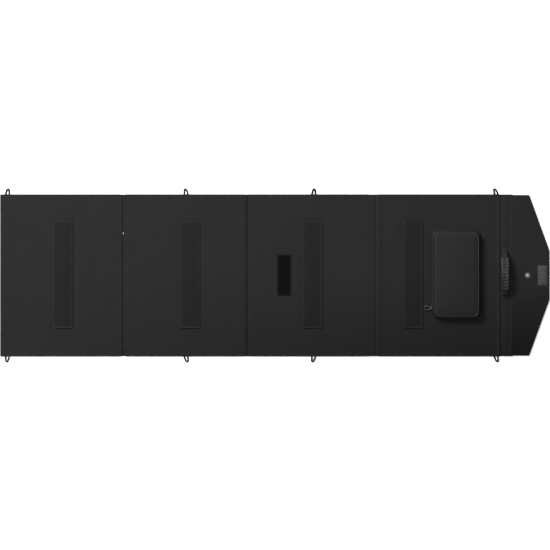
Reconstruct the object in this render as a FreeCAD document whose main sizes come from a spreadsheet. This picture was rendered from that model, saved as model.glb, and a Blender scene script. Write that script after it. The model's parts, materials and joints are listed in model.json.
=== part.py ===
"""Folding solar blanket: four hinged panels, a carrying spine and a closing flap.

The blanket lies open with its cells down, so +Z is the outward side of the back
covers.  X runs along the row of panels, from panel 1 to the flap, and Y across
the folds.  The origin is the middle of the outline, on the surface it lies on.
"""
import FreeCAD, Part
import math
import os

import Sketcher

PANELS = (1, 2, 3, 4)
# The fold line on the low side of each web; a is the line nearer to panel 3.
LOWER_AXES = {"12": "layout.axis_12_b", "23": "layout.axis_23_b", "34": "layout.axis_34_a"}
# How wide each web's solid is. Fold 2-3 is one crease: its solid is a narrow strip at panel 3.
WEB_WIDTHS = {"12": "layout.fold_12 - 2 * dims.web_end_gap",
              "23": "layout.fold_23 / 2 - dims.web_end_gap - dims.crease_room",
              "34": "layout.fold_34 - 2 * dims.web_end_gap"}

# Every driving dimension, in millimetres.
DIMENSIONS = {
    # the row of panels
    "blanket_length": 1457.6,    # free edge of panel 1 to the end of the flap
    "panel_run": 1325.5,         # free edge of panel 1 to the spine's fold
    "panel_height": 430.0,
    "panel_thick": 4.0,
    "mid_plane": 2.0,            # height of the webs; folds 1-2 and 3-4 turn at it
    "wrap_step": 3.0,            # how much longer each outer panel is than the one it wraps
    "front_gap": 1.2,            # air between two faces folded front to front
    "leg_gap": 0.9,              # air between two folded legs
    # fold webs
    "axis_margin": 1.5,          # panel edge to fold axis
    "web_end_gap": 0.3,          # web end to fold axis
    "crease_room": 1.2,          # left free at the middle of fold 2-3 for the spine that wraps it
    "web_thick": 2.0,
    "web_height": 426.0,
    "ribbon_width": 18.0,
    "ribbon_thick": 0.5,
    # panel build-up, from the front (low) to the back (high)
    "front_cover_thick": 0.6,
    "film_thick": 0.3,
    "ply_gap": 0.1,
    "cell_thick": 0.3,
    "board_thick": 1.9,
    "back_skin": 0.7,
    "hem_wall": 1.2,
    "board_inset": 2.6,          # cover edge to board edge, clear of the cover's round corners
    "cell_size": 125.0,
    "cell_gap": 3.0,
    "window_margin": 5.0,
    "film_overlap": 8.0,
    "corner_radius": 5.0,
    # hanging loops
    "loop_width": 14.0,
    "loop_reach": 16.0,
    "loop_opening": 8.8,
    "loop_depth": 12.4,
    "loop_tip": 4.0,
    "loop_thick": 1.0,
    "loop_1_place": 19.5,
    "loop_2_place": 493.5,
    "loop_3_place": 832.0,
    "loop_4_place": 1316.0,
    # legs
    "leg_width": 51.7,
    "leg_length": 285.0,
    "leg_thick": 3.5,
    "leg_standoff": 0.3,
    "leg_hinge_place": 145.0,
    "leg_skin": 0.6,
    "leg_board_gap": 0.1,
    "leg_1_place": 167.3,
    "leg_2_place": 504.0,
    "leg_3_place": 828.5,
    "leg_4_place": 1095.0,
    # hook and loop closure
    "patch_width": 37.0,
    "patch_height": 108.0,
    "patch_thick": 1.0,
    "patch_gap": 0.3,
    "loop_patch_place": 754.0,
    "hook_thick": 0.9,
    "hook_inset": 4.0,
    # closing flap
    "flap_thick": 3.0,
    "flap_below_axis": 1.0,
    "flap_half_height": 213.0,
    "flap_straight": 48.8,
    "flap_end_half": 65.0,
    "flap_skin": 0.7,
    "flap_board_gap": 0.1,
    "label_length": 53.0,
    "label_width": 25.0,
    "label_thick": 0.25,
    "label_place": 1439.0,
    "badge_radius": 7.5,
    "badge_place": 1399.5,
    # carrying handle
    "handle_place": 1338.5,
    "handle_shift": 4.0,
    "handle_half_span": 50.0,
    "handle_knee": 44.0,
    "knee_rise": 17.0,
    "arch_rise": 26.0,
    "strap_width": 12.0,
    "strap_thick": 1.6,
    "grip_half_length": 42.5,
    "grip_width": 22.0,
    "grip_thick": 8.0,
    "grip_slack": 0.2,
    "anchor_length": 15.0,
    "anchor_thick": 1.5,
    "anchor_gap": 0.3,
    "pivot_rise": 6.5,
    # pouch and zip
    "pouch_place": 1210.3,
    "pouch_shift": 2.0,
    "pouch_flange_x": 129.0,
    "pouch_flange_y": 234.0,
    "pouch_flange_thick": 0.8,
    "pouch_x": 126.4,
    "pouch_y": 231.4,
    "pouch_wall": 1.2,
    "pouch_rim": 5.4,
    "pouch_corner": 17.0,
    "chain_rise": 1.6,
    "chain_overhang": 0.7,
    "lid_gap": 0.3,
    "lid_rise": 18.0,
    "lid_top_x": 116.0,
    "lid_top_y": 215.0,
    "lid_corner": 14.0,
    "slider_place": -88.0,
    "slider_x": 3.2,
    "slider_y": 10.0,
    "slider_z": 6.0,
    "puller_gap": 0.8,
    "puller_reach": 19.0,
    "puller_width": 11.0,
    "puller_thick": 1.6,
    "puller_bar": 1.8,
    # controller in the pouch
    "case_x": 50.0,
    "case_y": 92.0,
    "case_z": 13.0,
    "case_wall": 2.0,
    "case_lid_z": 3.0,
    "case_shift": 30.0,
    "case_pad": 0.3,
    "circuit_thick": 1.6,
    "circuit_gap": 1.0,
    "circuit_rise": 0.3,
    "socket_spacing": 26.0,
    "socket_proud": 0.5,
    "socket_slack": 0.1,
    "usb_a_y": 14.4,
    "usb_a_z": 7.0,
    "usb_a_x": 14.0,
    "usb_a_wall": 0.9,
    "usb_a_floor": 4.0,
    "usb_c_y": 10.4,
    "usb_c_z": 4.4,
    "usb_c_x": 9.0,
    "usb_c_wall": 0.7,
    "usb_c_floor": 2.0,
    "dc_side": 8.8,
    "dc_x": 12.0,
    "dc_bore": 3.2,
    "dc_floor": 2.5,
}

# Lengths and places worked out from the driving dimensions, in the object's frame.
LAYOUT = {
    "left_edge": "-dims.blanket_length / 2",
    "back_face": "dims.panel_thick",
    "leg_height": "dims.leg_standoff + dims.leg_thick",
    # fold widths: what each web has to wrap when the blanket is packed
    "fold_23": "dims.panel_thick + dims.front_gap",
    "fold_12": "dims.panel_thick + 2 * leg_height + dims.leg_gap",
    "fold_34": "2 * fold_23 + fold_12",
    "flap_axis_rise": "dims.patch_thick + dims.patch_gap + dims.hook_thick + dims.flap_below_axis",
    "spine_width": "fold_34 + back_face - dims.mid_plane + flap_axis_rise",
    # fold axes along X; panel 4 wraps panel 3, which wraps panels 2 and 1
    "panel_3_run": "(dims.panel_run - fold_12 - fold_23 - fold_34 + dims.wrap_step) / 4",
    "axis_12_b": "left_edge + panel_3_run - dims.wrap_step",
    "axis_12_a": "axis_12_b + fold_12",
    "axis_23_b": "axis_12_a + panel_3_run - dims.wrap_step",
    "axis_23_a": "axis_23_b + fold_23",
    "axis_34_a": "axis_23_a + panel_3_run",
    "axis_34_b": "axis_34_a + fold_34",
    "axis_spine": "left_edge + dims.panel_run",
    "axis_flap": "axis_spine + spine_width",
    # panel edges
    "panel_1_low": "left_edge",
    "panel_1_high": "axis_12_b - dims.axis_margin",
    "panel_2_low": "axis_12_a + dims.axis_margin",
    "panel_2_high": "axis_23_b - dims.axis_margin",
    "panel_3_low": "axis_23_a + dims.axis_margin",
    "panel_3_high": "axis_34_a - dims.axis_margin",
    "panel_4_low": "axis_34_b + dims.axis_margin",
    "panel_4_high": "axis_spine - dims.axis_margin",
    # panel build-up
    "cell_low": "dims.front_cover_thick + dims.film_thick + dims.ply_gap",
    "board_low": "cell_low + dims.cell_thick",
    "cell_field_x": "2 * dims.cell_size + dims.cell_gap",
    "cell_field_y": "3 * dims.cell_size + 2 * dims.cell_gap",
    "window_x": "cell_field_x + 2 * dims.window_margin",
    "window_y": "cell_field_y + 2 * dims.window_margin",
    # flap
    "flap_low": "dims.mid_plane - dims.flap_below_axis",
    "flap_high": "flap_low + dims.flap_thick",
    "flap_start": "axis_flap + dims.axis_margin",
    "flap_run": "left_edge + dims.blanket_length - flap_start",
    # handle
    "spine_top": "dims.mid_plane + dims.web_thick / 2",
    "pivot_height": "spine_top + dims.pivot_rise",
    "arch_sag": "dims.arch_rise - dims.knee_rise",
    "arch_radius": "(dims.handle_knee ^ 2 + arch_sag ^ 2) / (2 * arch_sag)",
    # pouch
    "pouch_centre": "left_edge + dims.pouch_place",
    "pouch_floor": "back_face + dims.pouch_flange_thick",
    "chain_low": "back_face + dims.pouch_rim",
    "chain_high": "chain_low + dims.chain_rise",
    "lid_low": "chain_high + dims.lid_gap",
    "chain_x": "dims.pouch_x + 2 * dims.chain_overhang",
    "chain_y": "dims.pouch_y + 2 * dims.chain_overhang",
    "slider_high": "pouch_centre - chain_x / 2 - dims.lid_gap",
    "slider_low": "slider_high - dims.slider_x",
    "slider_mid": "chain_low + dims.chain_rise / 2",
    "case_low": "pouch_floor + dims.case_pad",
    "case_left": "pouch_centre + dims.case_shift - dims.case_x / 2",
    "circuit_low": "case_low + dims.case_wall + dims.circuit_rise",
    "socket_low": "circuit_low + dims.circuit_thick",
}


def make_sheet(document):
    """Spreadsheet of driving dimensions and the variable set worked out from them."""
    sheet = document.addObject("Spreadsheet::Sheet", "dims")
    for row, (alias, number) in enumerate(DIMENSIONS.items(), start=1):
        sheet.set(f"A{row}", alias)
        sheet.set(f"B{row}", str(number))
        sheet.setAlias(f"B{row}", alias)
    document.recompute()
    layout = document.addObject("App::VarSet", "layout")
    for name, expression in LAYOUT.items():
        layout.addProperty("App::PropertyFloat", name)
        layout.setExpression(name, expression)
    document.recompute()
    return sheet, layout


doc = FreeCAD.newDocument("folding_solar_blanket")
dims, layout = make_sheet(doc)
nodes = []


def value(expression):
    """Number that an expression of sheet and layout values stands for."""
    result = dims.evalExpression(str(expression))
    return float(getattr(result, "Value", result))


def bind(thing, **expressions):
    """Bind properties such as Length, or a place given as x, y or z, to expressions."""
    for name, expression in expressions.items():
        path = f"Placement.Base.{name}" if name in ("x", "y", "z") else name
        thing.setExpression(path, str(expression))
    return thing


def keep(thing, label):
    """Name a finished sub-part; its label is also its file's name."""
    thing.Label = label
    nodes.append(thing)
    return thing


# ---- primitives and booleans -------------------------------------------------

def block(x, y, z, size_x, size_y, size_z):
    """Box with its low corner at x, y, z."""
    box = doc.addObject("Part::Box", "block")
    return bind(box, Length=size_x, Width=size_y, Height=size_z, x=x, y=y, z=z)


def centred_block(x, y, z, size_x, size_y, size_z):
    """Box centred on x and y, standing on z."""
    return block(f"{x} - ({size_x}) / 2", f"{y} - ({size_y}) / 2", z, size_x, size_y, size_z)


def cut(base, *tools):
    """Base with every tool cut away in turn."""
    for tool in tools:
        result = doc.addObject("Part::Cut", "cut")
        result.Base = base
        result.Tool = tool
        base = result
    return base


def group(*solids):
    """Several separate solids in one node."""
    compound = doc.addObject("Part::Compound", "group")
    compound.Links = list(solids)
    return compound


# ---- sketched bodies ---------------------------------------------------------

def new_body(x, y, z):
    """Empty body whose own origin stands at x, y, z."""
    return bind(doc.addObject("PartDesign::Body", "body"), x=x, y=y, z=z)


def new_sketch(body, name, plane="XY_Plane", lift="0"):
    """Sketch on one of the body's own origin planes, lifted along its normal."""
    sketch = body.newObject("Sketcher::SketchObject", name)
    support = next(f for f in body.Origin.OriginFeatures if f.Role == plane)
    sketch.AttachmentSupport = [(support, "")]
    sketch.MapMode = "FlatFace"
    sketch.setExpression("AttachmentOffset.Base.z", str(lift))
    return sketch


def place_point(sketch, edge, end, x, y):
    """Fix one end of a sketched edge at x, y from the sketch's origin."""
    for kind, expression, axis in (("DistanceX", x, -2), ("DistanceY", y, -1)):
        number = value(expression)
        if abs(number) < 1e-9:
            sketch.addConstraint(Sketcher.Constraint("PointOnObject", edge, end, axis))
        elif number > 0:
            item = sketch.addConstraint(Sketcher.Constraint(kind, -1, 1, edge, end, number))
            sketch.setExpression(f"Constraints[{item}]", str(expression))
        else:
            item = sketch.addConstraint(Sketcher.Constraint(kind, edge, end, -1, 1, -number))
            sketch.setExpression(f"Constraints[{item}]", f"-({expression})")


def sketch_polygon(sketch, corners):
    """Closed outline of straight edges through corners, each an (x, y) of expressions."""
    first = sketch.GeometryCount
    points = [FreeCAD.Vector(value(x), value(y), 0) for x, y in corners]
    for start, end in zip(points, points[1:] + points[:1]):
        sketch.addGeometry(Part.LineSegment(start, end))
    for index, (x, y) in enumerate(corners):
        before = first + (index - 1) % len(corners)
        sketch.addConstraint(Sketcher.Constraint("Coincident", before, 2, first + index, 1))
        place_point(sketch, first + index, 1, x, y)


def sketch_rounded(sketch, size_x, size_y, radius):
    """Rectangle with round corners, centred on the sketch's origin."""
    first = sketch.GeometryCount
    half_x, half_y, bend = value(size_x) / 2, value(size_y) / 2, value(radius)
    in_x, in_y = half_x - bend, half_y - bend
    quarter = math.pi / 2
    sides = [((-in_x, -half_y), (in_x, -half_y)), ((half_x, -in_y), (half_x, in_y)),
             ((in_x, half_y), (-in_x, half_y)), ((-half_x, in_y), (-half_x, -in_y))]
    for start, end in sides:
        sketch.addGeometry(Part.LineSegment(FreeCAD.Vector(*start, 0), FreeCAD.Vector(*end, 0)))
    for turn, (x, y) in enumerate(((in_x, -in_y), (in_x, in_y), (-in_x, in_y), (-in_x, -in_y))):
        circle = Part.Circle(FreeCAD.Vector(x, y, 0), FreeCAD.Vector(0, 0, 1), bend)
        sketch.addGeometry(Part.ArcOfCircle(circle, (turn - 1) * quarter, turn * quarter))
    for turn in range(4):
        side, arc, after = first + turn, first + 4 + turn, first + (turn + 1) % 4
        sketch.addConstraint(Sketcher.Constraint("Tangent", side, 2, arc, 1))
        sketch.addConstraint(Sketcher.Constraint("Tangent", arc, 2, after, 1))
        sketch.addConstraint(Sketcher.Constraint(("Horizontal", "Vertical")[turn % 2], side))
        if turn:
            sketch.addConstraint(Sketcher.Constraint("Equal", first + 4, arc))
    item = sketch.addConstraint(Sketcher.Constraint("Radius", first + 4, bend))
    sketch.setExpression(f"Constraints[{item}]", str(radius))
    for kind, side, size, half in (("DistanceY", 0, size_y, half_y), ("DistanceX", 3, size_x, half_x)):
        low = sketch.addConstraint(Sketcher.Constraint(kind, first + side, 1, -1, 1, half))
        high = sketch.addConstraint(Sketcher.Constraint(kind, -1, 1, first + (side + 2) % 4, 1, half))
        sketch.setExpression(f"Constraints[{low}]", f"({size}) / 2")
        sketch.setExpression(f"Constraints[{high}]", f"({size}) / 2")


def sketch_arch(sketch, inner, outer, half_angle):
    """Ring sector about the sketch's origin, open downwards, between two radii."""
    centre = FreeCAD.Vector(0, 0, 0)
    low, high = (math.radians(90 + side * value(half_angle)) for side in (-1, 1))
    for radius in (inner, outer):
        circle = Part.Circle(centre, FreeCAD.Vector(0, 0, 1), value(radius))
        sketch.addGeometry(Part.ArcOfCircle(circle, low, high))
    for end, side in ((1, 1), (2, -1)):
        corners = [(f"{side} * ({radius}) * sin(({half_angle}) * 1 deg)",
                    f"({radius}) * cos(({half_angle}) * 1 deg)") for radius in (inner, outer)]
        points = [FreeCAD.Vector(value(x), value(y), 0) for x, y in corners]
        line = sketch.addGeometry(Part.LineSegment(points[0], points[1]))
        for arc, (x, y) in enumerate(corners):
            sketch.addConstraint(Sketcher.Constraint("Coincident", line, arc + 1, arc, end))
            place_point(sketch, line, arc + 1, x, y)
    for arc in (0, 1):
        sketch.addConstraint(Sketcher.Constraint("PointOnObject", arc, 3, -1))


def pad(body, sketch, length, centred=False):
    """Raise a sketch into a solid, upwards from its plane or to both sides of it."""
    feature = body.newObject("PartDesign::Pad", "pad")
    feature.Profile = sketch
    feature.SideType = "Symmetric" if centred else "One side"
    return bind(feature, Length=length)


def pocket(body, sketch, depth, centred=False, upwards=True):
    """Cut a sketch away, upwards or downwards from its plane or to both sides of it."""
    feature = body.newObject("PartDesign::Pocket", "pocket")
    feature.Profile = sketch
    feature.SideType = "Symmetric" if centred else "One side"
    feature.Reversed = upwards and not centred
    return bind(feature, Length=depth)


def round_edges(body, feature, chosen, radius):
    """Fillet the edges of a feature for which chosen(edge) is true."""
    doc.recompute()
    names = [f"Edge{i}" for i, edge in enumerate(feature.Shape.Edges, start=1) if chosen(edge)]
    fillet = body.newObject("PartDesign::Fillet", "fillet")
    fillet.Base = (feature, names)
    return bind(fillet, Radius=radius)


def upright(edge):
    """True for a straight edge along Z."""
    return edge.Curve.TypeId == "Part::GeomLine" and abs(edge.tangentAt(edge.FirstParameter).z) > 0.999


# ---- panels ------------------------------------------------------------------

def panel_span(number):
    """Low edge, width and centre of one panel along X."""
    low, high = f"layout.panel_{number}_low", f"layout.panel_{number}_high"
    return low, f"({high} - {low})", f"({low} + {high}) / 2"


def front_cover(number):
    """Fabric frame round the cell window; the blanket lies on it."""
    _, width, centre = panel_span(number)
    body = new_body(centre, "0", "0")
    outline = new_sketch(body, "outline")
    sketch_rounded(outline, width, "dims.panel_height", "dims.corner_radius")
    sketch_rounded(outline, "layout.window_x", "layout.window_y", "dims.corner_radius")
    pad(body, outline, "dims.front_cover_thick")
    keep(body, f"front_cover_{number}")


def front_film(number):
    """Clear film sealed over the cells, held behind the frame."""
    centre = panel_span(number)[2]
    film = centred_block(centre, "0", "dims.front_cover_thick",
                         "layout.window_x + 2 * dims.film_overlap",
                         "layout.window_y + 2 * dims.film_overlap", "dims.film_thick")
    keep(film, f"front_film_{number}")


def cells(number):
    """Two columns of three square solar cells."""
    centre = panel_span(number)[2]
    pitch = "(dims.cell_size + dims.cell_gap)"
    grid = [centred_block(f"{centre} + {column} * {pitch}", f"{row} * {pitch}", "layout.cell_low",
                          "dims.cell_size", "dims.cell_size", "dims.cell_thick")
            for column in (-0.5, 0.5) for row in (-1, 0, 1)]
    keep(group(*grid), f"cells_{number}")


def backing_board(number):
    """Stiff board that carries the cells."""
    _, width, centre = panel_span(number)
    inset = "2 * dims.board_inset"
    board = centred_block(centre, "0", "layout.board_low", f"{width} - {inset}",
                          f"dims.panel_height - {inset}", "dims.board_thick")
    keep(board, f"backing_board_{number}")


def back_cover(number):
    """Back fabric with its turned-down hem, a shallow tray over the board."""
    _, width, centre = panel_span(number)
    body = new_body(centre, "0", "dims.front_cover_thick")
    outline = new_sketch(body, "outline")
    sketch_rounded(outline, width, "dims.panel_height", "dims.corner_radius")
    pad(body, outline, "dims.panel_thick - dims.front_cover_thick")
    hollow = new_sketch(body, "hollow")
    hem = "2 * dims.hem_wall"
    sketch_rounded(hollow, f"{width} - {hem}", f"dims.panel_height - {hem}",
                   "dims.corner_radius - dims.hem_wall")
    pocket(body, hollow, "dims.panel_thick - dims.front_cover_thick - dims.back_skin")
    keep(body, f"back_cover_{number}")


def hang_loops(number):
    """Narrow ribbon loop sewn into the hem at each end of the panel."""
    loops = []
    for side in (1, -1):
        body = new_body(f"layout.left_edge + dims.loop_{number}_place",
                        f"{side} * dims.panel_height / 2", "dims.mid_plane")
        outline = new_sketch(body, "outline", lift="-dims.loop_thick / 2")
        reach, depth = f"{side} * dims.loop_reach", f"{side} * dims.loop_depth"
        corners = [("-dims.loop_width / 2", "0"), ("-dims.loop_opening / 2", "0"), ("0", depth),
                   ("dims.loop_opening / 2", "0"), ("dims.loop_width / 2", "0"),
                   ("dims.loop_tip / 2", reach), ("-dims.loop_tip / 2", reach)]
        sketch_polygon(outline, corners)
        pad(body, outline, "dims.loop_thick")
        loops.append(body)
    keep(group(*loops), f"hang_loops_{number}")


def leg(number):
    """Fabric-covered leg that swings out about its upper end."""
    centre = f"layout.left_edge + dims.leg_{number}_place"
    low = "dims.leg_hinge_place - dims.leg_length"
    base = "layout.back_face + dims.leg_standoff"
    inner_x = "dims.leg_width - 2 * dims.leg_skin"
    inner_y = "dims.leg_length - 2 * dims.leg_skin"
    inner_z = "dims.leg_thick - dims.leg_skin"
    middle = f"{low} + dims.leg_length / 2"
    shell = centred_block(centre, middle, base, "dims.leg_width", "dims.leg_length", "dims.leg_thick")
    hollow = centred_block(centre, middle, base, inner_x, inner_y, inner_z)
    keep(cut(shell, hollow), f"leg_cover_{number}")
    slack = "2 * dims.leg_board_gap"
    board = centred_block(centre, middle, base, f"{inner_x} - {slack}", f"{inner_y} - {slack}",
                          f"{inner_z} - dims.leg_board_gap")
    keep(board, f"leg_board_{number}")


def web(fold):
    """Fabric strip between two panels and the flat wiring ribbon that runs through it."""
    width = WEB_WIDTHS[fold]
    start = f"{LOWER_AXES[fold]} + layout.fold_{fold} - dims.web_end_gap - ({width})"
    base = "dims.mid_plane - dims.web_thick / 2"
    strip = block(start, "-dims.web_height / 2", base, width, "dims.web_height", "dims.web_thick")
    place_y = "dims.panel_height / 4"
    slot_z = "dims.mid_plane - dims.ribbon_thick / 2"
    slack = "dims.ply_gap"
    slot = block(start, f"{place_y} - dims.ribbon_width / 2 - {slack}", f"{slot_z} - {slack}",
                 width, f"dims.ribbon_width + 2 * {slack}", f"dims.ribbon_thick + 2 * {slack}")
    keep(cut(strip, slot), f"web_{fold}")
    ribbon = block(start, f"{place_y} - dims.ribbon_width / 2", slot_z,
                   width, "dims.ribbon_width", "dims.ribbon_thick")
    keep(ribbon, f"link_ribbon_{fold}")


# ---- closure -----------------------------------------------------------------

def loop_patch():
    """Soft loop half of the closure, sewn on the back of panel 3."""
    patch = centred_block("layout.left_edge + dims.loop_patch_place", "0", "layout.back_face",
                          "dims.patch_width", "dims.patch_height", "dims.patch_thick")
    keep(patch, "loop_patch")


def spine():
    """Fabric strip across the packed blanket's edge, between panel 4 and the flap."""
    strip = block("layout.axis_spine + dims.web_end_gap", "-dims.web_height / 2",
                  "dims.mid_plane - dims.web_thick / 2",
                  "layout.spine_width - 2 * dims.web_end_gap", "dims.web_height", "dims.web_thick")
    keep(strip, "spine")


def flap_outline(inset):
    """Corners of the flap, from its fold to its narrower end, moved inwards by inset."""
    slope = "(dims.flap_half_height - dims.flap_end_half) / (layout.flap_run - dims.flap_straight)"
    end = f"layout.flap_run - ({inset})"
    end_half = f"dims.flap_end_half + ({slope} - 1) * ({inset})"
    shoulder = f"dims.flap_straight - 0.5 * ({inset})"
    high = f"dims.flap_half_height - ({inset})"
    return [(inset, f"-({high})"), (shoulder, f"-({high})"), (end, f"-({end_half})"),
            (end, end_half), (shoulder, high), (inset, high)]


def flap():
    """Outer fabric, board and lining of the closing flap, with the hook patch below."""
    cover = new_body("layout.flap_start", "0", "layout.flap_low")
    outline = new_sketch(cover, "outline")
    sketch_polygon(outline, flap_outline("0"))
    raised = pad(cover, outline, "dims.flap_thick")
    round_edges(cover, raised, upright, "dims.corner_radius")
    hollow = new_sketch(cover, "hollow")
    sketch_polygon(hollow, flap_outline("dims.hem_wall"))
    pocket(cover, hollow, "dims.flap_thick - dims.flap_skin")
    keep(cover, "flap_cover")

    inset = "dims.hem_wall + dims.flap_board_gap"
    for label, base, thick in (
            ("flap_lining", "layout.flap_low", "dims.flap_skin"),
            ("flap_board", "layout.flap_low + dims.flap_skin",
             "dims.flap_thick - 2 * dims.flap_skin - dims.flap_board_gap")):
        layer = new_body("layout.flap_start", "0", base)
        shape = new_sketch(layer, "outline")
        sketch_polygon(shape, flap_outline(inset))
        pad(layer, shape, thick)
        keep(layer, label)

    hook = centred_block("layout.axis_flap + layout.flap_run + dims.axis_margin"
                         " - dims.hook_inset - dims.patch_width / 2", "0",
                         "layout.flap_low - dims.hook_thick",
                         "dims.patch_width", "dims.patch_height", "dims.hook_thick")
    keep(hook, "hook_patch")


def flap_marks():
    """Plain label and round sun badge on the flap."""
    label = centred_block("layout.left_edge + dims.label_place", "0", "layout.flap_high",
                          "dims.label_width", "dims.label_length", "dims.label_thick")
    keep(label, "rating_label")
    badge = doc.addObject("Part::Cylinder", "disc")
    bind(badge, Radius="dims.badge_radius", Height="dims.label_thick",
         x="layout.left_edge + dims.badge_place", y="0", z="layout.flap_high")
    keep(badge, "sun_badge")


# ---- handle ------------------------------------------------------------------

HANDLE_X = "layout.left_edge + dims.handle_place"
ARCH_CENTRE = "layout.spine_top + dims.arch_rise - layout.arch_radius"


def handle_grip():
    """Moulded grip, an arched bar with a slot for the strap."""
    body = new_body(HANDLE_X, "dims.handle_shift", ARCH_CENTRE)
    half_angle = "(asin(dims.grip_half_length / layout.arch_radius) / 1 deg)"
    profile = new_sketch(body, "profile", plane="YZ_Plane")
    sketch_arch(profile, "layout.arch_radius - dims.grip_thick / 2",
                "layout.arch_radius + dims.grip_thick / 2", half_angle)
    bar = pad(body, profile, "dims.grip_width", centred=True)

    def lengthways(edge):
        return edge.Curve.TypeId == "Part::GeomCircle"

    round_edges(body, bar, lengthways, "dims.grip_thick * 0.35")
    slot = new_sketch(body, "slot", plane="YZ_Plane")
    half_slot = "dims.strap_thick / 2 + dims.grip_slack"
    sketch_arch(slot, f"layout.arch_radius - ({half_slot})",
                f"layout.arch_radius + ({half_slot})", f"{half_angle} + 1")
    pocket(body, slot, "dims.strap_width + 2 * dims.grip_slack", centred=True)
    keep(body, "handle_grip")


def handle_strap():
    """Webbing that runs through the grip and down to its pivots at both ends."""
    parts = []
    radius = "layout.arch_radius"
    half = "dims.strap_thick / 2"
    half_angle = f"(asin(dims.handle_knee / {radius}) / 1 deg)"
    arch = new_body(HANDLE_X, "dims.handle_shift", ARCH_CENTRE)
    profile = new_sketch(arch, "profile", plane="YZ_Plane")
    sketch_arch(profile, f"{radius} - {half}", f"{radius} + {half}", half_angle)
    pad(arch, profile, "dims.strap_width", centred=True)
    parts.append(arch)
    for side in (1, -1):
        tail = new_body(HANDLE_X, "dims.handle_shift", "layout.spine_top")
        outline = new_sketch(tail, "profile", plane="YZ_Plane")
        knee_y = f"{radius} * sin({half_angle} * 1 deg)"
        corners = [(f"{side} * (dims.handle_half_span - dims.strap_thick)", "dims.pivot_rise"),
                   (f"{side} * dims.handle_half_span", "dims.pivot_rise"),
                   (f"{side} * ({radius} + {half}) / {radius} * {knee_y}",
                    f"dims.knee_rise + {half} * cos({half_angle} * 1 deg)"),
                   (f"{side} * ({radius} - {half}) / {radius} * {knee_y}",
                    f"dims.knee_rise - {half} * cos({half_angle} * 1 deg)")]
        sketch_polygon(outline, corners)
        pad(tail, outline, "dims.strap_width", centred=True)
        parts.append(tail)
        eye = doc.addObject("Part::Cylinder", "eye")
        bind(eye, Radius="dims.strap_width / 2", Height="dims.strap_thick",
             x=HANDLE_X, z="layout.pivot_height",
             y=f"dims.handle_shift + {side} * dims.handle_half_span"
               + (" - dims.strap_thick" if side > 0 else ""))
        eye.Placement.Rotation = FreeCAD.Rotation(FreeCAD.Vector(1, 0, 0), -90)
        parts.append(eye)
    strap = doc.addObject("Part::MultiFuse", "strap")
    strap.Shapes = parts
    keep(strap, "handle_webbing")


def handle_anchors():
    """Stitched foot and upright tab on the spine at each end of the handle."""
    feet = []
    for side in (1, -1):
        middle = (f"dims.handle_shift + {side} * (dims.handle_half_span + dims.anchor_gap"
                  " + dims.anchor_length / 2)")
        foot = centred_block(HANDLE_X, middle, "layout.spine_top",
                             "dims.strap_width", "dims.anchor_length", "dims.anchor_thick")
        face = (f"dims.handle_shift + {side} * (dims.handle_half_span + dims.anchor_gap"
                " + dims.anchor_thick / 2)")
        tab = centred_block(HANDLE_X, face, "layout.spine_top",
                            "dims.strap_width", "dims.anchor_thick", "dims.pivot_rise")
        both = doc.addObject("Part::Fuse", "foot")
        both.Base = foot
        both.Tool = tab
        feet.append(both)
    keep(group(*feet), "handle_anchors")


# ---- pouch -------------------------------------------------------------------

def pouch_base():
    """Low walled tray of the zip pouch, with the flange it is sewn down by."""
    body = new_body("layout.pouch_centre", "dims.pouch_shift", "layout.back_face")
    flange = new_sketch(body, "flange")
    sketch_rounded(flange, "dims.pouch_flange_x", "dims.pouch_flange_y", "dims.pouch_corner")
    pad(body, flange, "dims.pouch_flange_thick")
    wall = new_sketch(body, "wall")
    sketch_rounded(wall, "dims.pouch_x", "dims.pouch_y", "dims.pouch_corner")
    pad(body, wall, "dims.pouch_rim")
    hollow = new_sketch(body, "hollow", lift="dims.pouch_flange_thick")
    inset = "2 * dims.pouch_wall"
    sketch_rounded(hollow, f"dims.pouch_x - {inset}", f"dims.pouch_y - {inset}",
                   "dims.pouch_corner - dims.pouch_wall")
    pocket(body, hollow, "dims.pouch_rim")
    keep(body, "pouch_base")


def zip_chain():
    """Zip teeth round three sides of the pouch; the right side is the lid's hinge."""
    body = new_body("layout.pouch_centre", "dims.pouch_shift", "layout.chain_low")
    ring = new_sketch(body, "ring")
    sketch_rounded(ring, "layout.chain_x", "layout.chain_y",
                   "dims.pouch_corner + dims.chain_overhang")
    inset = "2 * dims.pouch_wall"
    sketch_rounded(ring, f"dims.pouch_x - {inset}", f"dims.pouch_y - {inset}",
                   "dims.pouch_corner - dims.pouch_wall")
    pad(body, ring, "dims.chain_rise")
    gap = new_sketch(body, "hinge_side")
    edge = "dims.pouch_x / 2 - dims.pouch_corner"
    reach = "layout.chain_x"
    tall = "layout.chain_y"
    sketch_polygon(gap, [(edge, f"-{tall}"), (reach, f"-{tall}"), (reach, tall), (edge, tall)])
    pocket(body, gap, "dims.chain_rise")
    keep(body, "zip_chain")


def loft(body, kind, name, lower, upper, rise):
    """Loft from a lower to an upper rounded rectangle, each (size_x, size_y, radius)."""
    bottom = new_sketch(body, f"{name}_bottom")
    sketch_rounded(bottom, *lower)
    top = new_sketch(body, f"{name}_top", lift=rise)
    sketch_rounded(top, *upper)
    feature = body.newObject(kind, name)
    feature.Profile = bottom
    feature.Sections = [top]
    feature.Ruled = True


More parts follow.
